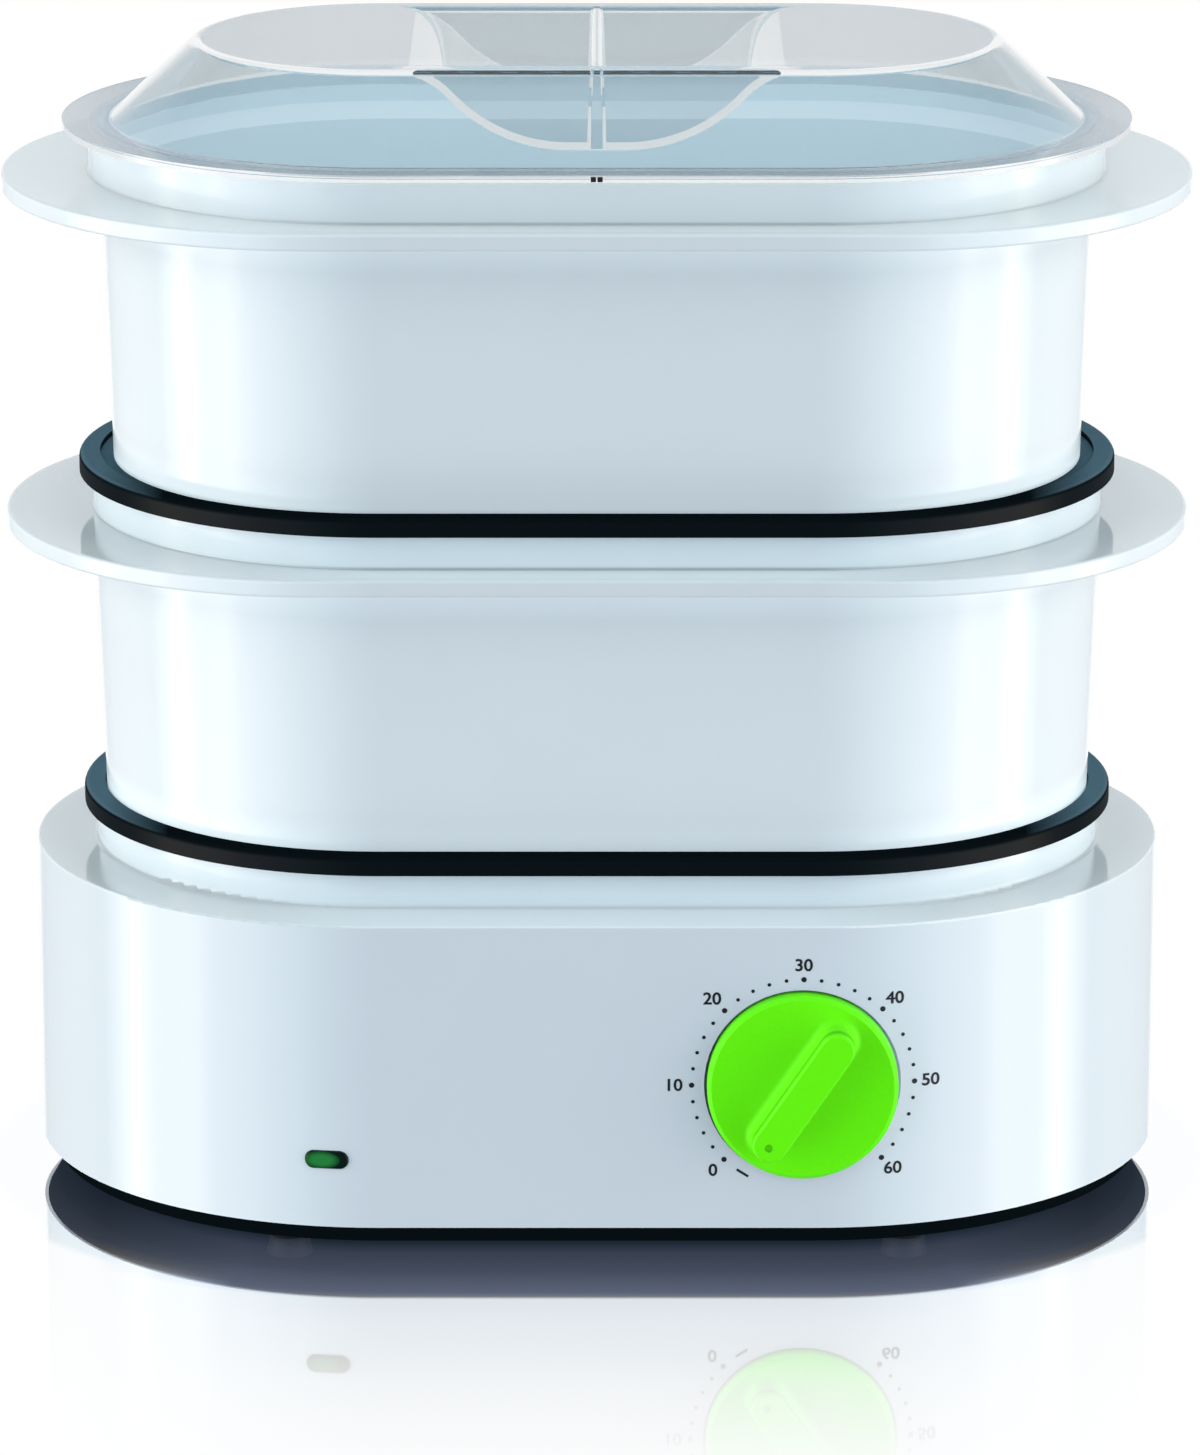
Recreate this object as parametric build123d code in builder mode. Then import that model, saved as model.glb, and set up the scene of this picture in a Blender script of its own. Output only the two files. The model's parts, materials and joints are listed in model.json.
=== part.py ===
from build123d import *
from math import asin, atan, cos, degrees, hypot, radians, sin
import os

os.makedirs("parts", exist_ok=True)

# An electric food steamer, in millimetres. The origin is on the table under the middle of the base,
# +Z is up and the front, with the timer, faces -Y. Every tier is an oval in plan: straight at the front
# and back, round at the ends.

# ---- Driving dimensions -------------------------------------------------------------------------

# Plan outline. A "radius" of an oval is that of its round ends, so it is also half the oval's depth.
plan_straight = 61.8  # centre plane to the centre of each round end
base_radius = 101.2
ledge_width = 17.8
seat_gap = 0.3  # a loose piece over what it rests on
slide_gap = 0.3  # a loose lip beside the wall it goes round
screw_clearance = 0.15
thread_clearance = 0.05

# Feet and base plate
foot_height = 5.2
foot_radius = 6.6  # at the top
foot_taper = 1.0
foot_round = 1.0
foot_out = 26.2  # along the length, from a round end's centre
foot_inset = 26.0  # from the base's front or back
foot_stem_radius = 2.5
foot_stem_length = 3.0
plate_thickness = 5.4
plate_inset = 1.0  # at its top, from the housing's outside
plate_taper = 3.2  # how much further in the bottom is
plate_rim_height = 5.0
plate_rim_wall = 2.0
vent_width = 3.0
vent_length = 26.0
vent_pitch = 8.0
vent_count = 7

# Base housing
base_wall = 2.6
base_height = 89.0  # wall, from the plate to the ledge
base_edge_round = 0.7
collar_wall = 2.4
collar_foot_round = 1.5
base_collar_height = 12.9
rim_round = 0.8

# Screws that hold the plate to the housing
boss_radius = 5.0
boss_wall_gap = 3.6
boss_angle = 45.0
boss_bottom_gap = 1.5  # over the plate's locating rim
boss_height = 24.0
boss_rib = 2.4
base_screw_radius = 1.75
base_screw_length = 22.0
base_screw_head = 3.6
base_screw_head_height = 2.2

# Water tank and its seal
tank_wall = 2.2
tank_floor_gap = 21.0  # over the plate
tank_timer_gap = 3.0
tank_shoulder_rise = 7.0
tank_shoulder_width = 14.0
tank_neck_gap = 2.4  # inside the collar
tank_flange = 2.5
tank_rib_out = 1.1  # middle of the rib that the seal meets, outside the collar
tank_rib_width = 3.0
tank_rib_depth = 6.0
seal_thickness = 1.2
seal_width = 5.0
tank_boss_radius = 3.8
tank_boss_gap = 0.7  # outside the seal
tank_screw_angle = 50.0
tank_flange_edge = 0.7  # outside the bosses
tank_screw_radius = 1.6
tank_screw_length = 8.0
tank_screw_head = 3.0
tank_screw_head_height = 1.8

# Drip tray
drip_side_gap = 0.6
drip_wall = 1.8
drip_top_gap = 7.5  # under the lower tray
chimney_x = 52.0
chimney_half = 20.0
chimney_wall = 1.6
chimney_corner = 10.0
chimney_drop = 3.0  # chimney's rim under the dish's rim

# Heating element
heater_tube_radius = 3.25
heater_loop_radius = 36.0
heater_gap_angle = 30.0  # half of the loop's open sector
heater_bend = 9.0
heater_over_floor = 13.0
heater_leg_below = 9.0
heater_plate_margin = 11.0  # from the legs and studs
heater_plate_thickness = 1.5
heater_plate_round = 6.0
heater_seal_thickness = 2.0
heater_fit = 0.02
stud_radius = 2.0
stud_spacing = 8.0  # from the nearest leg
stud_margin = 5.8
stud_reach = 12.0
nut_across = 7.0
nut_height = 3.2
leg_clearance = 0.2

# Parts under the tank
thermostat_radius = 8.0
thermostat_cap_radius = 6.4
thermostat_height = 7.0
thermostat_offset = 22.0
spade_width = 4.8
spade_thickness = 0.8
spade_length = 7.0
fuse_radius = 2.2
fuse_length = 14.0
fuse_lead_radius = 0.5
fuse_offset = 22.0
fuse_strap_width = 5.0
fuse_strap_thickness = 1.0
fuse_strap_length = 13.0

# Timer
timer_in = 3.8  # from a round end's centre towards the middle
timer_drop = 46.4  # below the ledge
timer_pocket_depth = 3.5  # the round pocket in the wall that the knob sits in
timer_pocket_gap = 0.8
timer_pad = 2.5  # wall left behind the pocket
timer_body_width = 38.0
timer_body_depth = 26.0
timer_corner = 5.0
timer_plate_width = 44.0
timer_plate_height = 30.0
timer_plate_thickness = 1.6
timer_plate_corner = 2.5
timer_boss_length = 2.6
timer_boss_radius = 3.6
timer_screw_spacing = 24.0
timer_screw_radius = 1.5
timer_spade_x = 10.0
timer_spade_z = 12.0
timer_spade_length = 1.5
timer_shaft_radius = 3.0
timer_shaft_depth = 12.0  # inside the timer's body
shaft_flat = 0.8
shaft_running = 0.06
shaft_wall_gap = 1.2

# Timer knob
knob_radius = 27.0
knob_proud = 4.0  # disc's face over the wall
knob_back_gap = 0.5
knob_disc_bevel = 1.2
knob_shell = 2.0
knob_rest_angle = 146.0  # pointer, anticlockwise from straight up, seen from the front
grip_height = 10.0
grip_foot_half = 5.25
grip_top_half = 4.9
grip_foot_straight = 16.9
grip_top_straight = 16.7
grip_foot_round = 2.1
grip_edge_round = 0.8
dimple_radius = 1.2
dimple_depth = 0.9
dimple_reach = 17.4  # from the knob's centre
hub_radius = 4.4
shaft_into_knob = 12.0
shaft_end_gap = 0.5

# Pilot light
pilot_out = 14.6  # along the length, from a round end's centre
pilot_rise = 20.0  # over the plate
pilot_half_length = 6.2
pilot_half_height = 2.6
pilot_proud = 0.6
pilot_round = 0.5
pilot_clearance = 0.1
pilot_flange = 1.2
pilot_flange_edge = 1.2
lamp_radius = 2.6
lamp_length = 7.0
lamp_clearance = 0.05
holder_wall = 1.4

# Cord inlet at the back
gland_offset = 46.0
gland_rise = 17.0  # over the plate
gland_bore = 3.6
gland_neck = 5.6
gland_flange = 8.5
gland_flange_thickness = 3.0
gland_taper_length = 12.0
gland_taper = 5.0
clamp_width = 20.0
clamp_depth = 7.0
clamp_height = 9.0
clamp_inset = 24.6  # from the housing's back wall
clamp_slot_width = 4.6
clamp_slot_height = 8.2
clamp_screw_offset = 7.0
clamp_screw_radius = 1.4
clamp_screw_head = 2.6
clamp_screw_head_height = 1.6
block_width = 30.0
block_depth = 12.0
block_height = 10.0
block_offset = 8.0
block_poles = 3
block_pole_radius = 2.0
block_pole_depth = 5.0

# Trays: black perforated floors, both the same, whose rims show between the tiers
tray_overhang = 4.0  # outside the collar
tray_height = 5.5  # the rim that shows
tray_lip_drop = 2.2  # how far the lip hangs over the collar
tray_edge_round = 1.6
tray_seat = 1.4  # rim left under the basket's wall
tray_recess_gap = 0.5
dish_wall = 2.4
dish_depth = 5.5
dish_floor = 2.0
slot_width = 5.0
slot_length = 15.0
slot_pitch_x = 13.0
slot_pitch_y = 21.0
slot_border = 5.0

# Baskets
tier_pitch = 98.2  # rim to rim
basket_wall = 2.2
basket_collar_height = 12.4
basket_foot_round = 0.6
lower_bottom_inset = 2.5  # from the collar's outside
lower_flare = 2.8
upper_bottom_inset = 5.9
upper_flare = 2.4
flange_thickness = 4.9
flange_straight_out = 17.5  # from a round end's centre
flange_end_out = 7.5  # grips' tips, outside the collar's radius
flange_side_out = 12.8  # front and back, outside the collar
flange_plate = 2.4
flange_rim = 2.4
flange_top_round = 1.0
flange_bottom_round = 0.8

# Lid
lid_wall = 2.0
lid_flange = 2.1
lid_end_out = 7.4  # flange, outside the collar's radius
lid_side_out = 4.4
lid_foot_inset = 6.4  # slope's foot, inside the collar
lid_slope_run = 24.0
lid_top_height = 25.0  # over the basket's rim
lid_top_round = 5.0
skirt_gap = 0.6
skirt_wall = 1.8
skirt_depth = 5.0
gate_width = 3.4  # moulding mark at the middle of the flange's front edge
gate_height = 1.5
gate_out = 0.5
niche_half_width = 58.0
niche_floor_half = 8.0
niche_floor_gap = 3.0  # over the basket's rim
niche_top_round = 24.0
niche_end_wall = 7.0  # plateau left in front of the recess and behind it
fin_foot_half = 2.7
fin_top_half = 2.0
fin_wall = 1.0

# ---- Sizes and heights worked out from the above ------------------------------------------------

collar_radius = base_radius - ledge_width  # the same on every tier, so that any tray fits
collar_inner = collar_radius - collar_wall
base_inner = base_radius - base_wall

plate_top = foot_height + plate_thickness
ledge_z = plate_top + base_height
base_rim_z = ledge_z + base_collar_height
lower_rim_z = base_rim_z + tier_pitch
upper_rim_z = lower_rim_z + tier_pitch

boss_reach = base_inner - boss_wall_gap - boss_radius  # from a round end's centre
boss_bottom = plate_top + plate_rim_height + boss_bottom_gap

tank_rib_radius = collar_radius + tank_rib_out
tank_rib_z = ledge_z - base_wall - tank_rib_depth
tank_top = tank_rib_z - seal_thickness
tank_screw_reach = tank_rib_radius + seal_width / 2 + tank_boss_gap + tank_boss_radius
tank_flange_radius = tank_screw_reach + tank_boss_radius + tank_flange_edge
tank_neck_radius = collar_inner - tank_neck_gap

timer_x = plan_straight - timer_in
timer_z = ledge_z - timer_drop
timer_stack = (
    timer_pocket_depth
    + timer_pad
    + timer_boss_length
    + timer_plate_thickness
    + timer_body_depth
    + timer_spade_length
)
tank_basin_radius = base_radius - timer_stack - tank_timer_gap - tank_wall
tank_floor_z = plate_top + tank_floor_gap
tank_taper_z = timer_z + timer_body_width / 2 + tank_timer_gap
tank_shoulder_z = tank_taper_z + tank_shoulder_rise
tank_shoulder_radius = tank_basin_radius + tank_shoulder_width

lower_bottom_radius = collar_radius - lower_bottom_inset
lower_top_radius = lower_bottom_radius + lower_flare
upper_bottom_radius = collar_radius - upper_bottom_inset
upper_top_radius = upper_bottom_radius + upper_flare
flange_straight = plan_straight + flange_straight_out
flange_reach = collar_radius + flange_end_out
flange_depth = collar_radius + flange_side_out


# ---- Shared outlines ----------------------------------------------------------------------------


def oval(radius, height):
    """The plan oval with the given end radius, lying at a height."""
    with BuildSketch(Plane.XY.offset(height)) as outline:
        SlotCenterToCenter(2 * plan_straight, 2 * radius)
    return outline.sketch


def winged_oval(straight, reach, depth, height):
    """An oval whose ends are half ellipses, for a flange that is deeper at its grips."""
    with BuildSketch(Plane.XY.offset(height)) as outline:
        with BuildLine():
            EllipticalCenterArc((straight, 0), reach, depth, start_angle=-90, arc_size=180)
            Line((straight, depth), (-straight, depth))
            EllipticalCenterArc((-straight, 0), reach, depth, start_angle=90, arc_size=180)
            Line((-straight, -depth), (straight, -depth))
        make_face()
    return outline.sketch


def oval_post(radius, low, high, mode=Mode.ADD):
    """An upright oval block between two heights."""
    extrude(oval(radius, low), amount=high - low, mode=mode)


def oval_taper(stations, mode=Mode.ADD):
    """A solid through ovals given as (height, radius), with straight flanks."""
    loft([oval(radius, height) for height, radius in stations], ruled=True, mode=mode)


def finish(piece, name):
    """Label a piece and write it as a node."""
    piece.label = name
    export_step(piece, f"parts/{name}.step")


def end_point(sx, sy, reach, angle):
    """A point beside one of the round ends, at a reach and a turn from the long axis."""
    turn = radians(angle)
    return (sx * (plan_straight + reach * cos(turn)), sy * reach * sin(turn))


corners = [(sx, sy) for sx in (-1, 1) for sy in (-1, 1)]
boss_points = [end_point(sx, sy, boss_reach, boss_angle) for sx, sy in corners]
foot_x = plan_straight + foot_out
foot_y = base_radius - foot_inset
foot_points = [(sx * foot_x, sy * foot_y) for sx, sy in corners]
tank_screw_points = [end_point(sx, sy, tank_screw_reach, tank_screw_angle) for sx, sy in corners]
tank_screw_points += [(0, -tank_screw_reach), (0, tank_screw_reach)]
with BuildSketch(Plane.XY.offset(tank_rib_z)) as rib_ring:
    SlotCenterToCenter(2 * plan_straight, 2 * tank_rib_radius + tank_rib_width)
    SlotCenterToCenter(2 * plan_straight, 2 * tank_rib_radius - tank_rib_width, mode=Mode.SUBTRACT)
tank_rib_ring = rib_ring.sketch

pilot_angle = asin(pilot_out / base_radius)
pilot_normal = Vector(-sin(pilot_angle), -cos(pilot_angle), 0)
pilot_face = Plane(
    origin=Vector(-plan_straight, 0, plate_top + pilot_rise) + pilot_normal * base_radius,
    x_dir=(cos(pilot_angle), -sin(pilot_angle), 0),
    z_dir=pilot_normal,
)
timer_face = Plane(origin=(timer_x, -base_radius, timer_z), x_dir=(1, 0, 0), z_dir=(0, -1, 0))
timer_pocket_face = timer_face.offset(-timer_pocket_depth)
timer_inner_face = timer_pocket_face.offset(-timer_pad)
timer_pocket_radius = knob_radius + timer_pocket_gap
gland_face = Plane(
    origin=(-gland_offset, base_radius, plate_top + gland_rise), x_dir=(-1, 0, 0), z_dir=(0, 1, 0)
)

# ---- Base ---------------------------------------------------------------------------------------

with BuildPart() as housing_inside:
    oval_post(base_inner, plate_top, ledge_z - base_wall)
    with BuildSketch(timer_inner_face):
        Circle(timer_pocket_radius + timer_pad)
    extrude(amount=base_wall + timer_pocket_depth, mode=Mode.SUBTRACT)
    oval_post(collar_inner, ledge_z - base_wall, base_rim_z)

with BuildPart() as base_housing:
    oval_post(base_radius, plate_top, ledge_z)
    fillet(faces().sort_by(Axis.Z)[-1].edges(), base_edge_round)
    oval_post(collar_radius, ledge_z, base_rim_z)
    ledge = faces().filter_by(Axis.Z).sort_by(Axis.Z)[1]
    fillet(ledge.inner_wires()[0].edges(), collar_foot_round)
    add(housing_inside.part, mode=Mode.SUBTRACT)
    fillet(faces().sort_by(Axis.Z)[-1].outer_wire().edges(), rim_round)
    # rib that the tank's seal meets, and the bosses for the tank's screws
    extrude(tank_rib_ring, amount=tank_rib_depth)
    with BuildSketch(Plane.XY.offset(tank_top)):
        with Locations(*tank_screw_points):
            Circle(tank_boss_radius)
    extrude(amount=ledge_z - base_wall - tank_top)
    with BuildSketch(Plane.XY.offset(tank_top)):
        with Locations(*tank_screw_points):
            Circle(tank_screw_radius)
    extrude(amount=ledge_z - base_wall - tank_top, mode=Mode.SUBTRACT)
    # bosses for the plate's screws, each tied to the wall by a rib
    with BuildSketch(Plane.XY.offset(boss_bottom)):
        with Locations(*boss_points):
            Circle(boss_radius)
    extrude(amount=boss_height)
    for sx, sy in corners:
        rib_middle = (boss_reach + base_inner) / 2
        with BuildSketch(Plane.XY.offset(boss_bottom)):
            with Locations(end_point(sx, sy, rib_middle, boss_angle)):
                Rectangle(
                    base_inner + base_wall / 2 - boss_reach,
                    boss_rib,
                    rotation=sx * sy * boss_angle,
                )
        extrude(amount=boss_height)
    with BuildSketch(Plane.XY.offset(boss_bottom)):
        with Locations(*boss_points):
            Circle(base_screw_radius + screw_clearance)
    extrude(amount=boss_height - boss_rib, mode=Mode.SUBTRACT)
    # timer: the knob's pocket, two spacer bosses inside, their screw holes and the shaft's hole
    with BuildSketch(timer_face):
        Circle(timer_pocket_radius)
    extrude(amount=-timer_pocket_depth, mode=Mode.SUBTRACT)
    with BuildSketch(timer_inner_face):
        with GridLocations(timer_screw_spacing, 0, 2, 1):
            Circle(timer_boss_radius)
    extrude(amount=-timer_boss_length)
    with BuildSketch(timer_pocket_face):
        Circle(timer_shaft_radius + shaft_wall_gap)
        with GridLocations(timer_screw_spacing, 0, 2, 1):
            Circle(timer_screw_radius + screw_clearance)
    extrude(amount=-(timer_pad + timer_boss_length), mode=Mode.SUBTRACT)
    # pilot light window and the cord inlet
    with BuildSketch(pilot_face):
        SlotOverall(2 * (pilot_half_length + pilot_clearance), 2 * (pilot_half_height + pilot_clearance))
    extrude(amount=-2 * base_wall, mode=Mode.SUBTRACT)
    with BuildSketch(gland_face):
        Circle(gland_neck + screw_clearance)
    extrude(amount=-2 * base_wall, mode=Mode.SUBTRACT)
finish(base_housing.part, "base_housing")

with BuildPart() as base_plate:
    oval_taper(
        [
            (foot_height, base_radius - plate_inset - plate_taper),
            (plate_top, base_radius - plate_inset),
        ]
    )
    fillet(faces().sort_by(Axis.Z)[0].edges(), base_edge_round)
    rim_outer = base_inner - slide_gap
    oval_post(rim_outer, plate_top, plate_top + plate_rim_height)
    oval_post(rim_outer - plate_rim_wall, plate_top, plate_top + plate_rim_height, Mode.SUBTRACT)
    # vents under the tank, and tubes that meet the housing's bosses
    with BuildSketch(Plane.XY.offset(foot_height)):
        with GridLocations(vent_pitch, 0, vent_count, 1):
            SlotOverall(vent_length, vent_width, rotation=90)
    extrude(amount=plate_thickness, mode=Mode.SUBTRACT)
    with BuildSketch(Plane.XY.offset(plate_top)):
        with Locations(*boss_points):
            Circle(boss_radius)
    extrude(amount=boss_bottom - plate_top)
    with Locations(*[(x, y, foot_height) for x, y in boss_points]):
        Cylinder(
            base_screw_radius + screw_clearance,
            boss_bottom - foot_height,
            align=(Align.CENTER, Align.CENTER, Align.MIN),
            mode=Mode.SUBTRACT,
        )
        Cylinder(
            base_screw_head + screw_clearance,
            base_screw_head_height,
            align=(Align.CENTER, Align.CENTER, Align.MIN),
            mode=Mode.SUBTRACT,
        )
    with Locations(*[(x, y, foot_height) for x, y in foot_points]):
        Cylinder(
            foot_stem_radius,
            foot_stem_length,
            align=(Align.CENTER, Align.CENTER, Align.MIN),
            mode=Mode.SUBTRACT,
        )
finish(base_plate.part, "base_plate")

foot_names = {
    (-1, -1): "foot_front_left",
    (1, -1): "foot_front_right",
    (-1, 1): "foot_rear_left",
    (1, 1): "foot_rear_right",
}
for (sx, sy), foot_name in foot_names.items():
    with BuildPart() as foot:
        with Locations((sx * foot_x, sy * foot_y, 0)):
            Cone(
                foot_radius - foot_taper,
                foot_radius,
                foot_height,
                align=(Align.CENTER, Align.CENTER, Align.MIN),
            )
            fillet(edges().sort_by(Axis.Z)[0], foot_round)
            with Locations((0, 0, foot_height)):
                Cylinder(
                    foot_stem_radius,
                    foot_stem_length,
                    align=(Align.CENTER, Align.CENTER, Align.MIN),
                )
    finish(foot.part, foot_name)

with BuildPart() as base_screws:
    with Locations(*[(x, y, foot_height) for x, y in boss_points]):
        Cylinder(
            base_screw_head,
            base_screw_head_height,
            align=(Align.CENTER, Align.CENTER, Align.MIN),
        )
        Cylinder(
            base_screw_radius,
            base_screw_length,
            align=(Align.CENTER, Align.CENTER, Align.MIN),
        )
finish(base_screws.part, "base_screws")

# ---- Water tank ---------------------------------------------------------------------------------

heater_turn = radians(heater_gap_angle)
heater_x = heater_loop_radius * cos(heater_turn) + heater_bend * sin(heater_turn)
leg_y = heater_loop_radius * sin(heater_turn) - heater_bend * cos(heater_turn)
stud_y = leg_y + stud_spacing

with BuildPart() as water_tank:
    oval_post(tank_flange_radius, tank_top - tank_flange, tank_top)
    oval_post(tank_neck_radius + tank_wall, tank_shoulder_z - tank_wall, tank_top)
    oval_taper(
        [
            (tank_floor_z, tank_basin_radius + tank_wall),
            (tank_taper_z, tank_basin_radius + tank_wall),
            (tank_shoulder_z - tank_wall, tank_shoulder_radius),
        ]
    )
    oval_post(tank_neck_radius, tank_shoulder_z, tank_top, Mode.SUBTRACT)
    oval_taper(
        [
            (tank_floor_z + tank_wall, tank_basin_radius),
            (tank_taper_z + tank_wall, tank_basin_radius),
            (tank_shoulder_z, tank_shoulder_radius - 2 * tank_wall),
        ],
        Mode.SUBTRACT,
    )
    with BuildSketch(Plane.XY.offset(tank_floor_z)):
        with Locations((heater_x, leg_y), (heater_x, -leg_y)):
            Circle(heater_tube_radius + leg_clearance)
        with Locations((heater_x, stud_y), (heater_x, -stud_y)):
            Circle(stud_radius + leg_clearance)
    extrude(amount=tank_wall, mode=Mode.SUBTRACT)
    with BuildSketch(Plane.XY.offset(tank_top)):
        with Locations(*tank_screw_points):
            Circle(tank_screw_radius + screw_clearance)
    extrude(amount=-tank_flange, mode=Mode.SUBTRACT)
finish(water_tank.part, "water_tank")

with BuildPart() as tank_seal:
    oval_post(tank_rib_radius + seal_width / 2, tank_top, tank_rib_z)
    oval_post(tank_rib_radius - seal_width / 2, tank_top, tank_rib_z, Mode.SUBTRACT)
finish(tank_seal.part, "tank_seal")

with BuildPart() as tank_screws:
    with BuildSketch(Plane.XY.offset(tank_top - tank_flange)):
        with Locations(*tank_screw_points):
            Circle(tank_screw_radius)
    extrude(amount=tank_screw_length)
    with BuildSketch(Plane.XY.offset(tank_top - tank_flange)):
        with Locations(*tank_screw_points):
            Circle(tank_screw_head)
    extrude(amount=-tank_screw_head_height)
finish(tank_screws.part, "tank_screws")

# ---- Heating element ----------------------------------------------------------------------------

floor_top = tank_floor_z + tank_wall
heater_plate_z = floor_top + heater_seal_thickness
heater_z = floor_top + heater_over_floor


def heater_leg(side):
    """The centre line of one cold end: a bend down from the loop, then a straight leg."""
    start = Vector(
        heater_loop_radius * cos(heater_turn), side * heater_loop_radius * sin(heater_turn), heater_z
    )
    ahead = Vector(sin(heater_turn), -side * cos(heater_turn), 0)
    down = Vector(0, 0, -1)
    half = radians(45)
    middle = start + heater_bend * (ahead * sin(half) + down * (1 - cos(half)))
    corner = start + heater_bend * (ahead + down)
    foot_end = Vector(corner.X, corner.Y, tank_floor_z - heater_leg_below)
    return start, middle, corner, foot_end


with BuildPart() as heating_element:
    with BuildLine() as heater_path:
        start, middle, corner, foot_end = heater_leg(1)
        Line(foot_end, corner)
        ThreePointArc(corner, middle, start)
        with BuildLine(Plane.XY.offset(heater_z)) as loop:
            CenterArc((0, 0), heater_loop_radius, heater_gap_angle, 360 - 2 * heater_gap_angle)
        start, middle, corner, foot_end = heater_leg(-1)
        ThreePointArc(start, middle, corner)
        Line(corner, foot_end)
    with BuildSketch(Plane(origin=heater_leg(1)[3], z_dir=(0, 0, 1))):
        Circle(heater_tube_radius)
    sweep(path=heater_path.wires()[0])
finish(heating_element.part, "heating_element")

with BuildPart() as heater_plate:
    with BuildSketch(Plane.XY.offset(heater_plate_z)):
        with Locations((heater_x, 0)):
            RectangleRounded(2 * heater_plate_margin, 2 * (stud_y + stud_margin), heater_plate_round)
            with Locations((0, leg_y), (0, -leg_y)):
                Circle(heater_tube_radius + heater_fit, mode=Mode.SUBTRACT)
    extrude(amount=heater_plate_thickness)
    with BuildSketch(Plane.XY.offset(heater_plate_z)):
        with Locations((heater_x, stud_y), (heater_x, -stud_y)):
            Circle(stud_radius)
    extrude(amount=-stud_reach)
finish(heater_plate.part, "heater_plate")

with BuildPart() as heater_seal:
    with BuildSketch(Plane.XY.offset(floor_top)):
        with Locations((heater_x, 0)):
            RectangleRounded(2 * heater_plate_margin, 2 * (stud_y + stud_margin), heater_plate_round)
            with Locations((0, leg_y), (0, -leg_y)):
                Circle(heater_tube_radius + heater_fit, mode=Mode.SUBTRACT)
            with Locations((0, stud_y), (0, -stud_y)):
                Circle(stud_radius + heater_fit, mode=Mode.SUBTRACT)
    extrude(amount=heater_seal_thickness)
finish(heater_seal.part, "heater_seal")

with BuildPart() as heater_nuts:
    with BuildSketch(Plane.XY.offset(tank_floor_z)):
        with Locations((heater_x, stud_y), (heater_x, -stud_y)):
            RegularPolygon(nut_across / 2, 6, major_radius=False)
            Circle(stud_radius + heater_fit, mode=Mode.SUBTRACT)
    extrude(amount=-nut_height)
finish(heater_nuts.part, "heater_nuts")

with BuildPart() as thermostat:
    with BuildSketch(Plane.XY.offset(tank_floor_z)):
        with Locations((-thermostat_offset, 0)):
            Circle(thermostat_radius)
    extrude(amount=-thermostat_height / 2)
    with BuildSketch(Plane.XY.offset(tank_floor_z - thermostat_height / 2)):
        with Locations((-thermostat_offset, 0)):
            Circle(thermostat_cap_radius)
    extrude(amount=-thermostat_height / 2)
    with BuildSketch(Plane.XY.offset(tank_floor_z - thermostat_height)):
        with Locations((-thermostat_offset, 0)):
            with GridLocations(0, thermostat_radius, 1, 2):
                Rectangle(spade_width, spade_thickness)
    extrude(amount=-spade_length)
finish(thermostat.part, "thermostat")

fuse_plane = Plane(
    origin=(0, -fuse_offset, tank_floor_z - fuse_radius), x_dir=(0, 1, 0), z_dir=(1, 0, 0)
)
with BuildPart() as thermal_fuse:
    with BuildSketch(fuse_plane):
        Circle(fuse_radius)
    extrude(amount=fuse_length / 2, both=True)
    with BuildSketch(fuse_plane):
        Circle(fuse_lead_radius)
    extrude(amount=fuse_length, both=True)
    with BuildSketch(Plane.XY.offset(tank_floor_z)):
        with Locations((0, -fuse_offset)):
            Rectangle(fuse_strap_width, fuse_strap_length)
    extrude(amount=-fuse_strap_thickness)
finish(thermal_fuse.part, "thermal_fuse")

# ---- Timer --------------------------------------------------------------------------------------

timer_plate_plane = timer_inner_face.offset(-timer_boss_length)
timer_body_plane = timer_plate_plane.offset(-timer_plate_thickness)

with BuildPart() as timer_body:
    with BuildSketch(timer_plate_plane):
        RectangleRounded(timer_plate_width, timer_plate_height, timer_plate_corner)
        with GridLocations(timer_screw_spacing, 0, 2, 1):
            Circle(timer_screw_radius, mode=Mode.SUBTRACT)
    extrude(amount=-timer_plate_thickness)
    with BuildSketch(timer_body_plane):
        RectangleRounded(timer_body_width, timer_body_width, timer_corner)
        with GridLocations(timer_screw_spacing, 0, 2, 1):
            Circle(timer_screw_radius, mode=Mode.SUBTRACT)
    extrude(amount=-timer_body_depth)
    with BuildSketch(timer_plate_plane):
        Circle(timer_shaft_radius + shaft_running)
    extrude(amount=-timer_shaft_depth, mode=Mode.SUBTRACT)
    # spade terminals at the back
    with BuildSketch(timer_body_plane.offset(-timer_body_depth)):
        with GridLocations(timer_spade_x, timer_spade_z, 2, 2):
            Rectangle(spade_thickness, spade_width)
    extrude(amount=-timer_spade_length)
finish(timer_body.part, "timer_body")

with BuildPart() as timer_screws:
    with BuildSketch(timer_pocket_face):
        with GridLocations(timer_screw_spacing, 0, 2, 1):
            Circle(timer_screw_radius - thread_clearance)
    extrude(amount=-(timer_pad + timer_boss_length + timer_shaft_depth / 2))
finish(timer_screws.part, "timer_screws")

knob_back = timer_pocket_face.offset(knob_back_gap)
knob_front = timer_face.offset(knob_proud)
knob_disc = knob_proud + timer_pocket_depth - knob_back_gap
grip_turn = 90 + knob_rest_angle  # the pointer end's direction on the timer's face
shaft_back = timer_plate_plane.offset(seat_gap - timer_shaft_depth)
shaft_run = timer_shaft_depth - seat_gap + timer_boss_length + timer_pad + knob_back_gap
flat_offset = timer_shaft_radius - shaft_flat / 2

with BuildPart() as timer_shaft:
    with BuildSketch(shaft_back):
        Circle(timer_shaft_radius)
    extrude(amount=shaft_run + shaft_into_knob)
    # the flat that drives the knob
    with BuildSketch(knob_back):
        with Locations((0, flat_offset)):
            Rectangle(2 * timer_shaft_radius, shaft_flat)
    extrude(amount=shaft_into_knob, mode=Mode.SUBTRACT)
finish(timer_shaft.part, "timer_shaft")


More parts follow.
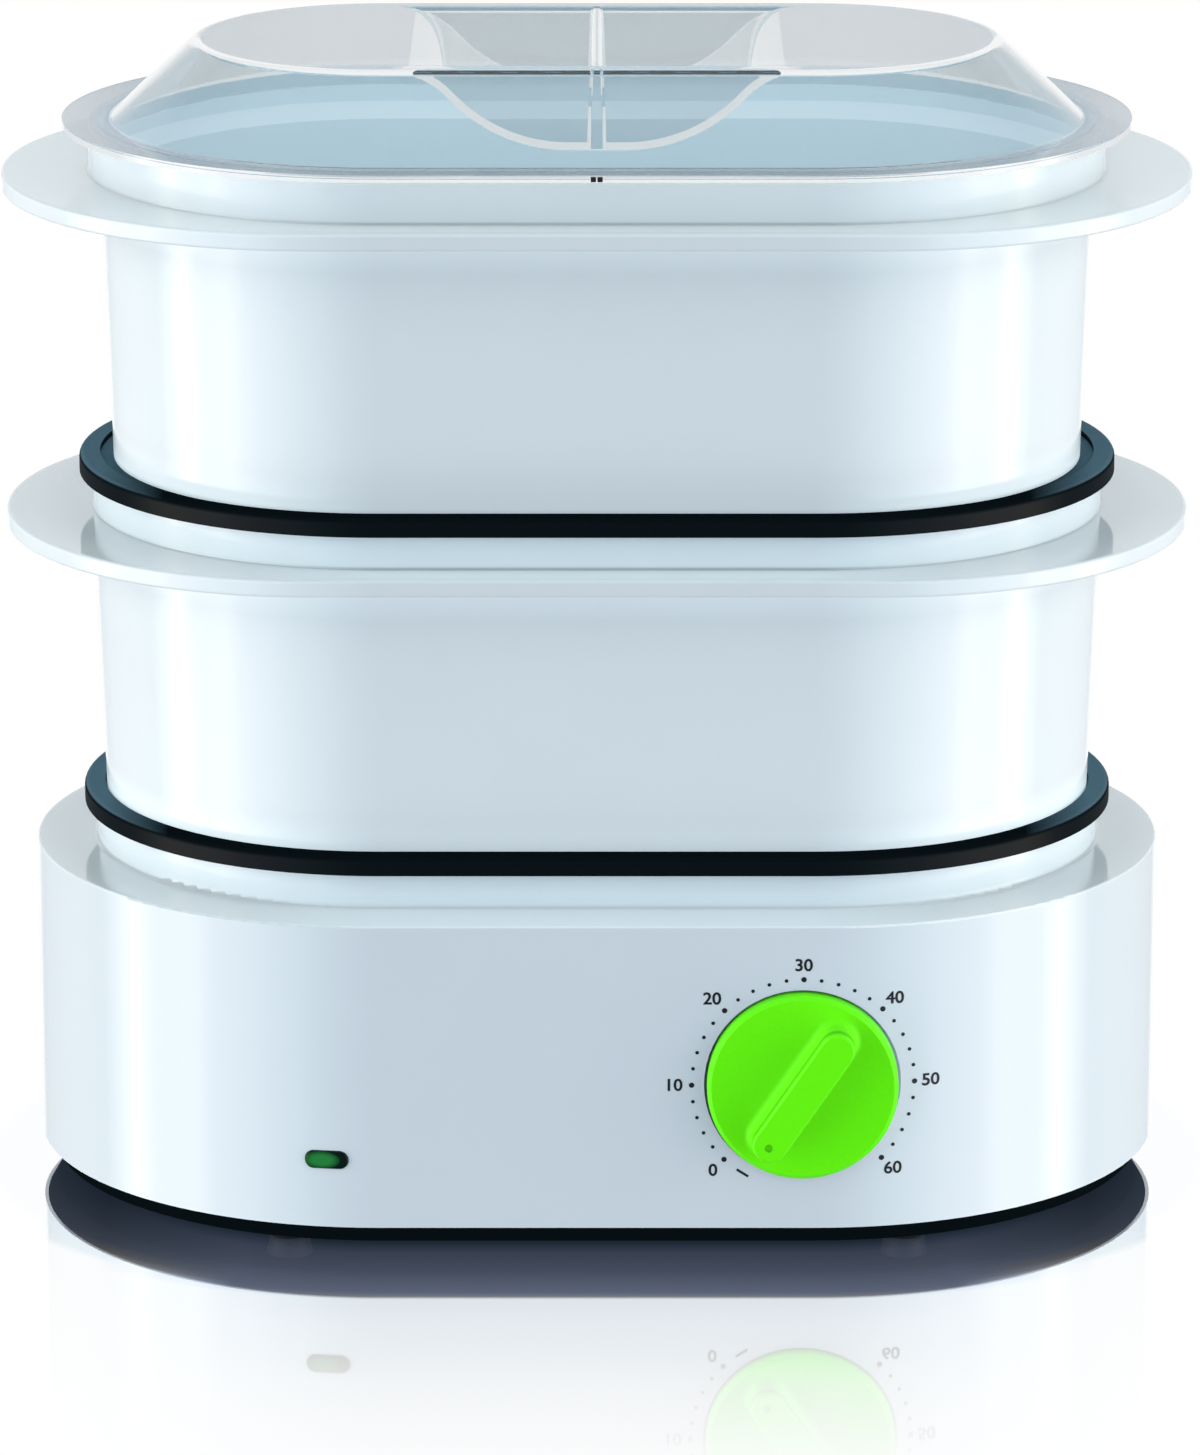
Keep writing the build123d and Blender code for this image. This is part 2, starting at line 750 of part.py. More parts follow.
def grip_oval(plane, half_width, straight):
    """One outline of the grip, along the pointer's direction."""
    with BuildSketch(plane) as outline:
        SlotCenterToCenter(2 * straight, 2 * half_width, rotation=grip_turn)
    return outline.sketch


grip_face = knob_front.offset(grip_height)
hollow_end = grip_face.offset(-knob_shell)
pointer = Vector(cos(radians(grip_turn)), sin(radians(grip_turn)))

with BuildPart() as timer_knob:
    with BuildSketch(knob_back):
        Circle(knob_radius)
    extrude(amount=knob_disc)
    chamfer(edges().filter_by(GeomType.CIRCLE).sort_by(Axis.Y)[0], knob_disc_bevel)
    loft(
        [
            grip_oval(knob_front, grip_foot_half, grip_foot_straight),
            grip_oval(grip_face, grip_top_half, grip_top_straight),
        ],
        ruled=True,
    )
    disc_face = faces().filter_by(Axis.Y).sort_by(Axis.Y)[1]
    fillet(disc_face.inner_wires()[0].edges(), grip_foot_round)
    fillet(faces().sort_by(Axis.Y)[0].outer_wire().edges(), grip_edge_round)
    # disc and grip are hollow from behind, with a hub round the shaft
    with BuildSketch(knob_back):
        Circle(knob_radius - knob_shell)
    extrude(amount=knob_disc - knob_shell, mode=Mode.SUBTRACT)
    loft(
        [
            grip_oval(knob_back, grip_foot_half - knob_shell, grip_foot_straight),
            grip_oval(hollow_end, grip_top_half - knob_shell, grip_top_straight),
        ],
        ruled=True,
        mode=Mode.SUBTRACT,
    )
    with BuildSketch(knob_back):
        Circle(hub_radius)
    extrude(amount=knob_disc + grip_height - knob_shell / 2)
    with BuildSketch(knob_back):
        Circle(timer_shaft_radius)
        with Locations((0, flat_offset)):
            Rectangle(2 * timer_shaft_radius, shaft_flat, mode=Mode.SUBTRACT)
    extrude(amount=shaft_into_knob + shaft_end_gap, mode=Mode.SUBTRACT)
    # dimple that marks the pointer end
    with BuildSketch(grip_face):
        with Locations((dimple_reach * pointer.X, dimple_reach * pointer.Y)):
            Circle(dimple_radius)
    extrude(amount=-dimple_depth, mode=Mode.SUBTRACT)
finish(timer_knob.part, "timer_knob")

# ---- Pilot light --------------------------------------------------------------------------------

lens_flange_face = pilot_face.offset(-(base_wall + slide_gap))

with BuildPart() as pilot_lens:
    with BuildSketch(pilot_face.offset(pilot_proud)):
        SlotOverall(2 * pilot_half_length, 2 * pilot_half_height)
    extrude(amount=-(pilot_proud + base_wall + slide_gap + pilot_flange))
    fillet(faces().sort_by(Axis.Y)[0].edges(), pilot_round)
    with BuildSketch(lens_flange_face):
        SlotOverall(
            2 * (pilot_half_length + pilot_flange_edge),
            2 * (pilot_half_height + pilot_flange_edge),
        )
    extrude(amount=-pilot_flange)
finish(pilot_lens.part, "pilot_lens")

holder_front = lens_flange_face.offset(-pilot_flange)
holder_half = (pilot_half_length + pilot_flange_edge, lamp_radius + holder_wall)
holder_depth = 2 * (lamp_radius + holder_wall)

with BuildPart() as pilot_holder:
    with BuildSketch(holder_front):
        RectangleRounded(2 * holder_half[0], 2 * holder_half[1], holder_wall)
        SlotOverall(2 * pilot_half_length, 2 * lamp_radius, mode=Mode.SUBTRACT)
    extrude(amount=-holder_depth)
    with BuildSketch(holder_front.offset(-holder_depth)):
        RectangleRounded(2 * holder_half[0], 2 * holder_half[1], holder_wall)
    extrude(amount=-holder_wall)
finish(pilot_holder.part, "pilot_holder")

with BuildPart() as pilot_lamp:
    lamp_plane = Plane(
        origin=(holder_front.offset(-(lamp_radius + holder_wall))).origin,
        x_dir=pilot_face.z_dir,
        z_dir=pilot_face.x_dir,
    )
    with BuildSketch(lamp_plane):
        Circle(lamp_radius - lamp_clearance)
    extrude(amount=lamp_length / 2, both=True)
finish(pilot_lamp.part, "pilot_lamp")

# ---- Cord inlet ---------------------------------------------------------------------------------

with BuildPart() as cord_gland:
    with BuildSketch(gland_face):
        Circle(gland_flange)
    extrude(amount=gland_flange_thickness)
    with BuildSketch(gland_face.offset(gland_flange_thickness)):
        Circle(gland_neck)
    extrude(amount=gland_taper_length, taper=gland_taper)
    with BuildSketch(gland_face):
        Circle(gland_neck)
    extrude(amount=-(base_wall + gland_flange_thickness))
    with BuildSketch(gland_face.offset(-(base_wall + screw_clearance))):
        Circle(gland_flange)
    extrude(amount=-gland_flange_thickness)
    with BuildSketch(gland_face.offset(gland_flange_thickness + gland_taper_length)):
        Circle(gland_bore)
    extrude(
        amount=-(2 * gland_flange_thickness + gland_taper_length + base_wall + screw_clearance),
        mode=Mode.SUBTRACT,
    )
finish(cord_gland.part, "cord_gland")

clamp_place = (-gland_offset, base_inner - clamp_inset)
clamp_top = Plane.XY.offset(plate_top + clamp_height)

with BuildPart() as cord_clamp:
    with BuildSketch(Plane.XY.offset(plate_top)):
        with Locations(clamp_place):
            Rectangle(clamp_width, clamp_depth)
            with GridLocations(2 * clamp_screw_offset, 0, 2, 1):
                Circle(clamp_screw_radius, mode=Mode.SUBTRACT)
    extrude(amount=clamp_height)
    # arch over the cord
    with BuildSketch(Plane.XZ.offset(-clamp_place[1])):
        with Locations((-gland_offset, plate_top)):
            SlotOverall(clamp_slot_height, clamp_slot_width, rotation=90)
    extrude(amount=clamp_depth, both=True, mode=Mode.SUBTRACT)
finish(cord_clamp.part, "cord_clamp")

with BuildPart() as clamp_screws:
    with BuildSketch(clamp_top):
        with Locations(clamp_place):
            with GridLocations(2 * clamp_screw_offset, 0, 2, 1):
                Circle(clamp_screw_head)
    extrude(amount=clamp_screw_head_height)
    with BuildSketch(clamp_top):
        with Locations(clamp_place):
            with GridLocations(2 * clamp_screw_offset, 0, 2, 1):
                Circle(clamp_screw_radius - thread_clearance)
    extrude(amount=-clamp_height)
finish(clamp_screws.part, "clamp_screws")

block_place = (-block_offset, base_inner - clamp_inset)
with BuildPart() as terminal_block:
    with BuildSketch(Plane.XY.offset(plate_top)):
        with Locations(block_place):
            Rectangle(block_width, block_depth)
    extrude(amount=block_height)
    with BuildSketch(Plane.XY.offset(plate_top + block_height)):
        with Locations(block_place):
            with GridLocations(block_width / block_poles, 0, block_poles, 1):
                Circle(block_pole_radius)
    extrude(amount=-block_pole_depth, mode=Mode.SUBTRACT)
finish(terminal_block.part, "terminal_block")

# ---- Drip tray ----------------------------------------------------------------------------------

lower_seat_z = base_rim_z + seat_gap + tray_seat  # where the lower basket's wall stands
drip_bottom = tank_shoulder_z + seat_gap
drip_top = lower_seat_z - dish_depth - dish_floor - drip_top_gap
drip_radius = tank_neck_radius - drip_side_gap
chimney_outer = chimney_half + chimney_wall

with BuildPart() as drip_tray:
    oval_post(drip_radius, drip_bottom, drip_top)
    fillet(faces().sort_by(Axis.Z)[0].edges(), drip_wall)
    oval_post(drip_radius - drip_wall, drip_bottom + drip_wall, drip_top, Mode.SUBTRACT)
    with BuildSketch(Plane.XY.offset(drip_bottom + drip_wall / 2)):
        with GridLocations(2 * chimney_x, 0, 2, 1):
            RectangleRounded(2 * chimney_outer, 2 * chimney_outer, chimney_corner)
    extrude(amount=drip_top - drip_bottom - drip_wall / 2 - chimney_drop)
    with BuildSketch(Plane.XY.offset(drip_bottom)):
        with GridLocations(2 * chimney_x, 0, 2, 1):
            RectangleRounded(2 * chimney_half, 2 * chimney_half, chimney_corner - chimney_wall)
    extrude(amount=drip_top - drip_bottom, mode=Mode.SUBTRACT)
finish(drip_tray.part, "drip_tray")

# ---- Tiers --------------------------------------------------------------------------------------


def slot_points(limit_radius):
    """Centres of the floor slots that lie wholly inside an oval."""
    columns = int((plan_straight + limit_radius) / slot_pitch_x)
    rows = int(limit_radius / slot_pitch_y)
    points = []
    for column in range(-columns, columns + 1):
        for row in range(-rows, rows + 1):
            x, y = column * slot_pitch_x, row * slot_pitch_y
            corner_x = abs(x) + slot_width / 2 - plan_straight
            corner_y = abs(y) + slot_length / 2
            if hypot(max(corner_x, 0), corner_y) <= limit_radius:
                points.append((x, y))
    return points


def make_tray(name, collar_top):
    """A perforated floor whose rim hangs over the collar below and takes the basket above."""
    rim_bottom = collar_top - tray_lip_drop
    rim_top = rim_bottom + tray_height
    seat_z = collar_top + seat_gap + tray_seat
    dish_radius = upper_bottom_radius - tray_recess_gap
    floor_z = seat_z - dish_depth
    with BuildPart() as tray:
        oval_post(collar_radius + tray_overhang, rim_bottom, rim_top)
        fillet(faces().sort_by(Axis.Z)[-1].edges(), tray_edge_round)
        oval_post(collar_radius + slide_gap, rim_bottom, collar_top + seat_gap, Mode.SUBTRACT)
        oval_post(dish_radius, floor_z - dish_floor, collar_top + seat_gap)
        oval_post(lower_bottom_radius + tray_recess_gap, seat_z, rim_top, Mode.SUBTRACT)
        oval_post(dish_radius - dish_wall, floor_z, rim_top, Mode.SUBTRACT)
        with BuildSketch(Plane.XY.offset(floor_z)):
            with Locations(*slot_points(dish_radius - dish_wall - slot_border)):
                Rectangle(slot_width, slot_length)
        extrude(amount=-dish_floor, mode=Mode.SUBTRACT)
    finish(tray.part, name)


def make_basket(name, seat_rim_z, bottom_radius, top_radius):
    """A basket wall with its wide flange and the collar that the next tier sits on."""
    bottom_z = seat_rim_z + 2 * seat_gap + tray_seat
    rim_z = seat_rim_z + tier_pitch
    flange_top = rim_z - basket_collar_height
    flange_bottom = flange_top - flange_thickness
    plate_bottom = flange_top - flange_plate
    with BuildPart() as basket:
        extrude(
            winged_oval(flange_straight, flange_reach, flange_depth, flange_bottom),
            amount=flange_thickness,
        )
        fillet(faces().sort_by(Axis.Z)[-1].edges(), flange_top_round)
        fillet(faces().sort_by(Axis.Z)[0].edges(), flange_bottom_round)
        extrude(
            winged_oval(
                flange_straight, flange_reach - flange_rim, flange_depth - flange_rim, flange_bottom
            ),
            amount=flange_thickness - flange_plate,
            mode=Mode.SUBTRACT,
        )
        oval_taper([(bottom_z, bottom_radius), (plate_bottom, top_radius)])
        oval_post(collar_radius, plate_bottom, rim_z)
        collar_foot = faces().filter_by(Axis.Z).group_by(Axis.Z)[-2].sort_by(SortBy.AREA)[-1]
        fillet(collar_foot.inner_wires()[0].edges(), basket_foot_round)
        oval_taper(
            [
                (bottom_z, bottom_radius - basket_wall),
                (plate_bottom, top_radius - basket_wall),
                (flange_top + collar_wall, collar_inner),
            ],
            Mode.SUBTRACT,
        )
        oval_post(collar_inner, flange_top + collar_wall, rim_z, Mode.SUBTRACT)
        fillet(faces().sort_by(Axis.Z)[-1].outer_wire().edges(), rim_round)
    finish(basket.part, name)


make_tray("lower_tray", base_rim_z)
make_basket("lower_basket", base_rim_z, lower_bottom_radius, lower_top_radius)
make_tray("upper_tray", lower_rim_z)
make_basket("upper_basket", lower_rim_z, upper_bottom_radius, upper_top_radius)

# ---- Lid ----------------------------------------------------------------------------------------

lid_bottom = upper_rim_z + seat_gap
lid_flange_top = lid_bottom + lid_flange
lid_top = upper_rim_z + lid_top_height
lid_ceiling = lid_top - lid_wall
lid_foot_radius = collar_radius - lid_foot_inset
lid_top_radius = lid_foot_radius - lid_slope_run
lid_slope_rise = lid_top - lid_flange_top
lid_slope_inset = lid_wall * hypot(lid_slope_run, lid_slope_rise) / lid_slope_rise
niche_run = niche_half_width - niche_floor_half
niche_floor_z = upper_rim_z + niche_floor_gap
niche_sweep = 2 * degrees(atan((lid_top - niche_floor_z) / niche_run))
niche_bottom_round = niche_run / sin(radians(niche_sweep)) - niche_top_round
niche_half_depth = lid_top_radius - niche_end_wall


def lid_slope_radius(height):
    """End radius of the lid's sloping outside at a height."""
    return lid_foot_radius - lid_slope_run * (height - lid_flange_top) / lid_slope_rise


def niche_profile(grow):
    """The finger recess seen from the front, its surface moved out by grow."""
    top_z = lid_top - grow
    sides = {}
    with BuildSketch(Plane.XZ) as profile:
        with BuildLine():
            for side in (-1, 1):
                shoulder = JernArc(
                    (side * niche_half_width, top_z),
                    (-side, 0),
                    niche_top_round - grow,
                    side * niche_sweep,
                )
                sides[side] = JernArc(
                    shoulder @ 1,
                    shoulder % 1,
                    niche_bottom_round + grow,
                    -side * niche_sweep,
                )
                Line(shoulder @ 0, (side * niche_half_width, lid_top + lid_wall))
            Line(sides[-1] @ 1, sides[1] @ 1)
            Line(
                (-niche_half_width, lid_top + lid_wall),
                (niche_half_width, lid_top + lid_wall),
            )
        make_face()
    return profile.sketch


def fin_profile(foot_z, foot_half, top_z, top_half):
    """The finger grip seen from the front: upright, drafted and round on top."""
    with BuildSketch(Plane.XZ) as profile:
        with BuildLine():
            Polyline(
                (-top_half, top_z - top_half),
                (-foot_half, foot_z),
                (foot_half, foot_z),
                (top_half, top_z - top_half),
            )
            ThreePointArc(
                (top_half, top_z - top_half), (0, top_z), (-top_half, top_z - top_half)
            )
        make_face()
    return profile.sketch


with BuildPart() as lid_inside:
    oval_taper(
        [
            (lid_bottom, lid_slope_radius(lid_bottom) - lid_slope_inset),
            (lid_ceiling, lid_slope_radius(lid_ceiling) - lid_slope_inset),
        ]
    )
    extrude(
        niche_profile(lid_wall),
        amount=niche_half_depth + lid_wall,
        both=True,
        mode=Mode.SUBTRACT,
    )
    extrude(
        fin_profile(lid_bottom, fin_foot_half - fin_wall, lid_top - fin_wall, fin_top_half - fin_wall),
        amount=niche_half_depth - fin_wall,
        both=True,
    )
    oval_post(collar_inner - skirt_gap - skirt_wall, lid_bottom - skirt_depth, lid_bottom)

with BuildPart() as lid:
    oval_taper([(lid_flange_top, lid_foot_radius), (lid_top, lid_top_radius)])
    fillet(faces().sort_by(Axis.Z)[-1].edges(), lid_top_round)
    extrude(niche_profile(0), amount=niche_half_depth, both=True, mode=Mode.SUBTRACT)
    extrude(
        fin_profile(niche_floor_z, fin_foot_half, lid_top, fin_top_half),
        amount=niche_half_depth,
        both=True,
    )
    extrude(
        winged_oval(
            plan_straight, collar_radius + lid_end_out, collar_radius + lid_side_out, lid_bottom
        ),
        amount=lid_flange,
    )
    with Locations((0, -collar_radius - lid_side_out, lid_bottom + lid_flange / 2)):
        Box(gate_width, 2 * gate_out, gate_height)
    oval_post(collar_inner - skirt_gap, lid_bottom - skirt_depth, lid_bottom)
    add(lid_inside.part, mode=Mode.SUBTRACT)
finish(lid.part, "lid")
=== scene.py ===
# %% [markdown]
# # An electric food steamer, dressed for its portrait
#
# The steamer's solids come from a CAD program and are already the right size and in the right
# place: a white base with a tank in it, two white baskets on black perforated trays, and a clear
# lid. This notebook gives them their finishes, prints the scale round the timer knob, and sets up
# the floor, the lights and the camera. Each step first says what the thing is on a real steamer.

# %% Load the solids
import json
import math

import bmesh
import bpy
from mathutils import Matrix, Vector


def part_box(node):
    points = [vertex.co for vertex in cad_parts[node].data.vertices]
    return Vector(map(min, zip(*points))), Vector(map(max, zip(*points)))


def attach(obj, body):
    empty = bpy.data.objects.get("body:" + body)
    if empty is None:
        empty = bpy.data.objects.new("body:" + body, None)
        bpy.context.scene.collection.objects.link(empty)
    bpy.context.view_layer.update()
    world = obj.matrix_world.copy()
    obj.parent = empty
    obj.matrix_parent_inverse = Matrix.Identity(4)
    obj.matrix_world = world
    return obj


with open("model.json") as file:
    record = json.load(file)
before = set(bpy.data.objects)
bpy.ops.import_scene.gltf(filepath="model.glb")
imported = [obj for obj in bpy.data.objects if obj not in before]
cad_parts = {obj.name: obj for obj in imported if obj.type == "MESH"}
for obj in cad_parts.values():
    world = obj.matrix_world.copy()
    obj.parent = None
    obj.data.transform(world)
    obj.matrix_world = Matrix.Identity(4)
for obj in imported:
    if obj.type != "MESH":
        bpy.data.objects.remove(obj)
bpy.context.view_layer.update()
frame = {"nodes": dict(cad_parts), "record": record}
print("solids", len(frame["nodes"]))

# %% [markdown]
# ## Camera
#
# A product portrait is taken from well back with a long lens, so that the base isn't pinched and
# the tiers' edges stay nearly parallel. The camera stands 2.3 m in front and looks down a little,
# enough to see the tops of the flanges. It could be aimed at a target object with a constraint,
# but a plain tilt about X needs nothing else in the scene and is easier to read.

# %% Camera
camera_place = Vector((0.0009, -2.3036, 0.7642))
camera_tilt = math.radians(90.0 - 15.40)

camera_data = bpy.data.cameras.new("portrait_camera")
camera_data.lens = 203.0
camera_data.sensor_width = 36.0
camera = bpy.data.objects.new("portrait_camera", camera_data)
camera.location = camera_place
camera.rotation_euler = (camera_tilt, 0.0, 0.0)
bpy.context.collection.objects.link(camera)
bpy.context.scene.camera = camera
print("camera at", tuple(camera_place), "tilted to", round(math.degrees(camera_tilt), 2))

# %% [markdown]
# ## Writing materials as sums
#
# A finish such as moulded plastic is a few masks added and multiplied together. Wiring Math nodes
# by hand hides that, so this small class wraps a socket and lets the sum be written as a sum.
# Only numbers go through it: a colour would turn grey in a Math node, so colours are mixed by a
# Mix node instead.


# %% Shader maths
class Value:
    """A number that may change over a surface, with the usual signs for sums."""

    steepness = 4000.0

    def __init__(self, make, socket):
        self.make = make
        self.socket = socket

    def _math(self, operation, *values):
        return self.make.node(
            "ShaderNodeMath", {"operation": operation}, dict(enumerate(values))
        )

    def __add__(self, other):
        return self._math("ADD", self, other)

    def __radd__(self, other):
        return self._math("ADD", other, self)

    def __sub__(self, other):
        return self._math("SUBTRACT", self, other)

    def __rsub__(self, other):
        return self._math("SUBTRACT", other, self)

    def __mul__(self, other):
        return self._math("MULTIPLY", self, other)

    def __rmul__(self, other):
        return self._math("MULTIPLY", other, self)

    def __truediv__(self, other):
        return self._math("DIVIDE", self, other)

    def clamped(self):
        return self.clipped(0.0, 1.0)

    def clipped(self, low, high):
        return self._math("MINIMUM", self._math("MAXIMUM", self, low), high)

    def absolute(self):
        return self._math("ABSOLUTE", self)

    def larger(self, other):
        return self._math("MAXIMUM", self, other)

    def root(self):
        return self._math("SQRT", self)

    def near(self, place, reach):
        """1 at the place, fading to 0 at a distance of reach from it."""
        return (1.0 - (self - place).absolute() / reach).clamped()

    def past(self, place):
        """0 up to the place and 1 from a quarter of a millimetre beyond it."""
        return ((self - place) * self.steepness).clamped()


# %% [markdown]
# The second half of the helper makes any other node from its type, its settings and its inputs.
# It also hands out the places on the piece in metres, since every solid stays where the CAD put it
# and object coordinates are therefore real positions.


# %% Making nodes
black = (0.0, 0.0, 0.0)
white = (1.0, 1.0, 1.0)


def scaled(colour, factor):
    """The same colour, darker or brighter."""
    return tuple(factor * part for part in colour)


class NodeMaker:
    """Makes the nodes of one tree, whether a material's or the surroundings'."""

    def __init__(self, tree):
        self.tree = tree

    def node(self, kind, settings=None, inputs=None, output=0):
        made = self.tree.nodes.new(kind)
        for key, value in (settings or {}).items():
            if key == "stops":
                while len(made.color_ramp.elements) < len(value):
                    made.color_ramp.elements.new(1.0)
                for element, (place, colour) in zip(made.color_ramp.elements, value):
                    element.position = place
                    element.color = (*colour, 1.0)
            else:
                setattr(made, key, value)
        for key, value in (inputs or {}).items():
            self.feed(made.inputs[key], value)
        return Value(self, made.outputs[output])

    def feed(self, socket, value):
        if isinstance(value, Value):
            self.tree.links.new(value.socket, socket)
        elif isinstance(value, tuple) and len(value) == 3 and socket.type == "RGBA":
            socket.default_value = (*value, 1.0)
        else:
            socket.default_value = value

    def place(self, kind="Object"):
        return self.node("ShaderNodeTexCoord", output=kind)

    def axes(self, kind="Object"):
        apart = self.node("ShaderNodeSeparateXYZ", inputs={0: self.place(kind)})
        outputs = apart.socket.node.outputs
        return [Value(self, outputs[name]) for name in ("X", "Y", "Z")]

    def upward(self):
        """1 where the surface faces up, and 0 where it is upright or faces down."""
        return ((self.axes("Normal")[2] - 0.5) * 4.0).clamped()

    def noise(self, scale, detail=2.0, roughness=0.5):
        return self.node(
            "ShaderNodeTexNoise",
            inputs={"Vector": self.place(), "Scale": scale, "Detail": detail, "Roughness": roughness},
        )

    def mixed(self, factor, first, second):
        made = self.tree.nodes.new("ShaderNodeMix")
        made.data_type = "RGBA"
        self.feed(made.inputs["Factor"], factor)
        self.feed(made.inputs[6], first)
        self.feed(made.inputs[7], second)
        return Value(self, made.outputs[2])

    def ramp(self, factor, stops):
        return self.node("ShaderNodeValToRGB", {"stops": stops}, {"Fac": factor})


# %% [markdown]
# A finish is such a maker for one material. It adds the Principled shader that nearly every
# finish ends in, and takes what is the same all over the surface when it is made.


# %% A finish under construction
class Finish(NodeMaker):
    """One material: its nodes, and the Principled shader that they end in."""

    def __init__(self, name, **constants):
        self.material = bpy.data.materials.new(name)
        self.material.use_nodes = True
        super().__init__(self.material.node_tree)
        self.shader = self.tree.nodes["Principled BSDF"]
        self.output = self.tree.nodes["Material Output"]
        for socket_name, value in constants.items():
            self.set(socket_name.replace("_", " "), value)

    def set(self, socket_name, value):
        self.feed(self.shader.inputs[socket_name], value)

    def bump(self, height, distance, strength=1.0):
        made = self.node(
            "ShaderNodeBump", inputs={"Height": height, "Distance": distance, "Strength": strength}
        )
        self.set("Normal", made)


# %% [markdown]
# ## White moulded plastic
#
# The base and both baskets are glossy white polypropylene. Such a moulding is never a perfect
# mirror: it sinks and waves very slightly as it cools, so reflections wobble, and its gloss drifts
# a little from place to place. Both come from broad soft noise, one as a very shallow bump and
# one on the roughness.
#
# Seen from above, every tier is an oval with straight sides and round ends, and much of what
# follows depends on where a point lies on it. So the oval comes first, with the distance past the
# start of a round end and the distance from the line down the oval's middle.


# %% The oval plan
round_end_x = 0.0618
base_radius = 0.1012
tray_overhang = 0.004
collar_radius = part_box("lower_tray")[1].y - tray_overhang
tray_rims = [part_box(tray)[1].z for tray in ("lower_tray", "upper_tray")]
collar_feet = [0.0996, 0.1983, 0.2965]


def on_oval(x, y):
    along = x - x.clipped(-round_end_x, round_end_x)
    return along, (along * along + y * y).root()


print("collars of radius", round(collar_radius, 4), "under rims at", [round(z, 4) for z in tray_rims])

# %% [markdown]
# White plastic passes on some of the light that falls into it. It glows just above each black
# rim, on the collars, and in the corner under each flange. A renderer could follow the light
# through the wall, but that is slow and grainy, so the glow is painted by height.


# %% Light let through by the white plastic
flange_thickness = 0.0049
rim_thickness = 0.0035
foot_in_rim = 0.002
hair = 0.0003
rim_reach, rim_glow = 0.0105, (0.33, 0.41, 0.44)
collar_glow = (0.072, 0.105, 0.120)
corner_reach, corner_glow = 0.010, (0.18, 0.20, 0.22)


def let_through(finish, z, front, upward):
    above_rims, collars, under_flanges = 0.0, 0.0, 0.0
    for rim in tray_rims:
        fading = z.near(rim, rim_reach) * z.past(rim - foot_in_rim)
        above_rims = above_rims + fading * fading * (1.0 - 0.45 * front)
    for rim, foot in zip(tray_rims, collar_feet):
        collars = collars + z.past(foot - hair) * (1.0 - z.past(rim - rim_thickness))
    for foot in collar_feet[1:]:
        corner = foot - flange_thickness
        under_flanges = under_flanges + z.near(corner, corner_reach) * (1.0 - z.past(corner))
    on_collar = collars * (1.0 - upward * (1.0 - front))
    glow = finish.mixed(on_collar, black, collar_glow)
    glow = finish.mixed(above_rims, glow, rim_glow)
    return finish.mixed(under_flanges, glow, corner_glow)


# %% [markdown]
# The colour carries painted shade and light as well. The straight fronts are painted a touch darker
# than the round ends as shade, most on the flanges, and so are the flanges' tops at the ends. A fine
# line of painted shade runs along each collar's foot, where the glow is also taken out, and the base is
# painted a touch darker and bluer as shade. The insides of the baskets, where light bounces from wall
# to wall, are painted bluer, with a faint painted glow, for that bounced light. A point is inside when
# its surface faces the middle of the oval.


# %% White plastic
front_fades = 0.035
base_top = 0.0990
brim_radius = collar_radius + 0.009
# reach of the painted shade along each collar's foot
crease_shade_across, crease_shade_up = 0.0011, 0.0009


def white_moulding(name, colour, shine=0.06):
    finish = Finish(name, IOR=1.50, Emission_Strength=1.0)
    x, y, z = finish.axes()
    turn_x, turn_y, _ = finish.axes("Normal")
    along, from_middle = on_oval(x, y)
    inside = ((-1.0) * (turn_x * along + turn_y * y) * 40.0).clamped()
    front = (1.0 - along.absolute() / front_fades).clamped()
    upward = finish.upward()
    brim = from_middle.past(brim_radius) * z.past(tray_rims[0])
    # painted shade: a fine dark line along each collar's foot, with no glow in it
    crease_shade_mask = 0.0
    for foot in collar_feet:
        crease_shade_mask = crease_shade_mask + from_middle.near(collar_radius, crease_shade_across) * z.near(foot, crease_shade_up)
    drift = finish.noise(45.0, 3.0)
    wave = finish.noise(9.0, 2.0)
    # painted shade: the straight fronts and the tops at the ends are darker
    front_shade = front * (0.11 + 0.06 * brim)
    end_top_shade = upward * (1.0 - front) * 0.10
    crease_shade = crease_shade_mask * (0.15 + 0.35 * front)
    plain = finish.mixed(drift, colour, scaled(colour, 0.975))
    with_painted_shade = finish.mixed(front_shade + end_top_shade + crease_shade, plain, black)
    # painted shade: below its top the base is darker and bluer
    base_painted_shade = finish.mixed(0.11, with_painted_shade, (0.0, 0.12, 0.28))
    with_base_shade = finish.mixed(1.0 - z.past(base_top), with_painted_shade, base_painted_shade)
    # painted bounce light: the insides are bluer and glow faintly
    finish.set("Base Color", finish.mixed(inside, with_base_shade, (0.78, 0.89, 0.94)))
    passed_on = finish.mixed(crease_shade_mask * front, let_through(finish, z, front, upward), black)
    finish.set("Emission Color", finish.mixed(inside, passed_on, (0.07, 0.13, 0.165)))
    finish.set("Roughness", shine + drift * 0.03)
    finish.bump(wave, 0.0006, 0.25)
    return finish.material


white_plastic = white_moulding("white_plastic", (0.79, 0.87, 0.895))
tank_plastic = white_moulding("tank_plastic", (0.74, 0.76, 0.78), 0.3)
print("white plastic", white_plastic.name, tank_plastic.name)

# %% [markdown]
# ## Black grained plastic
#
# The trays and the bottom plate are black, with a fine spark-eroded grain from the mould. The
# grain is a small, hard noise on the bump. A larger, softer one varies the roughness, as handling
# does. The upright faces have a soft sheen, which a thin coat gives, and the flat ones are dull.
# The tops of the trays' ends are painted paler and bluer, as a painted sheen where they catch the
# light.


# %% Black plastic
end_sheen_start, end_sheen_fade = 0.122, 0.020


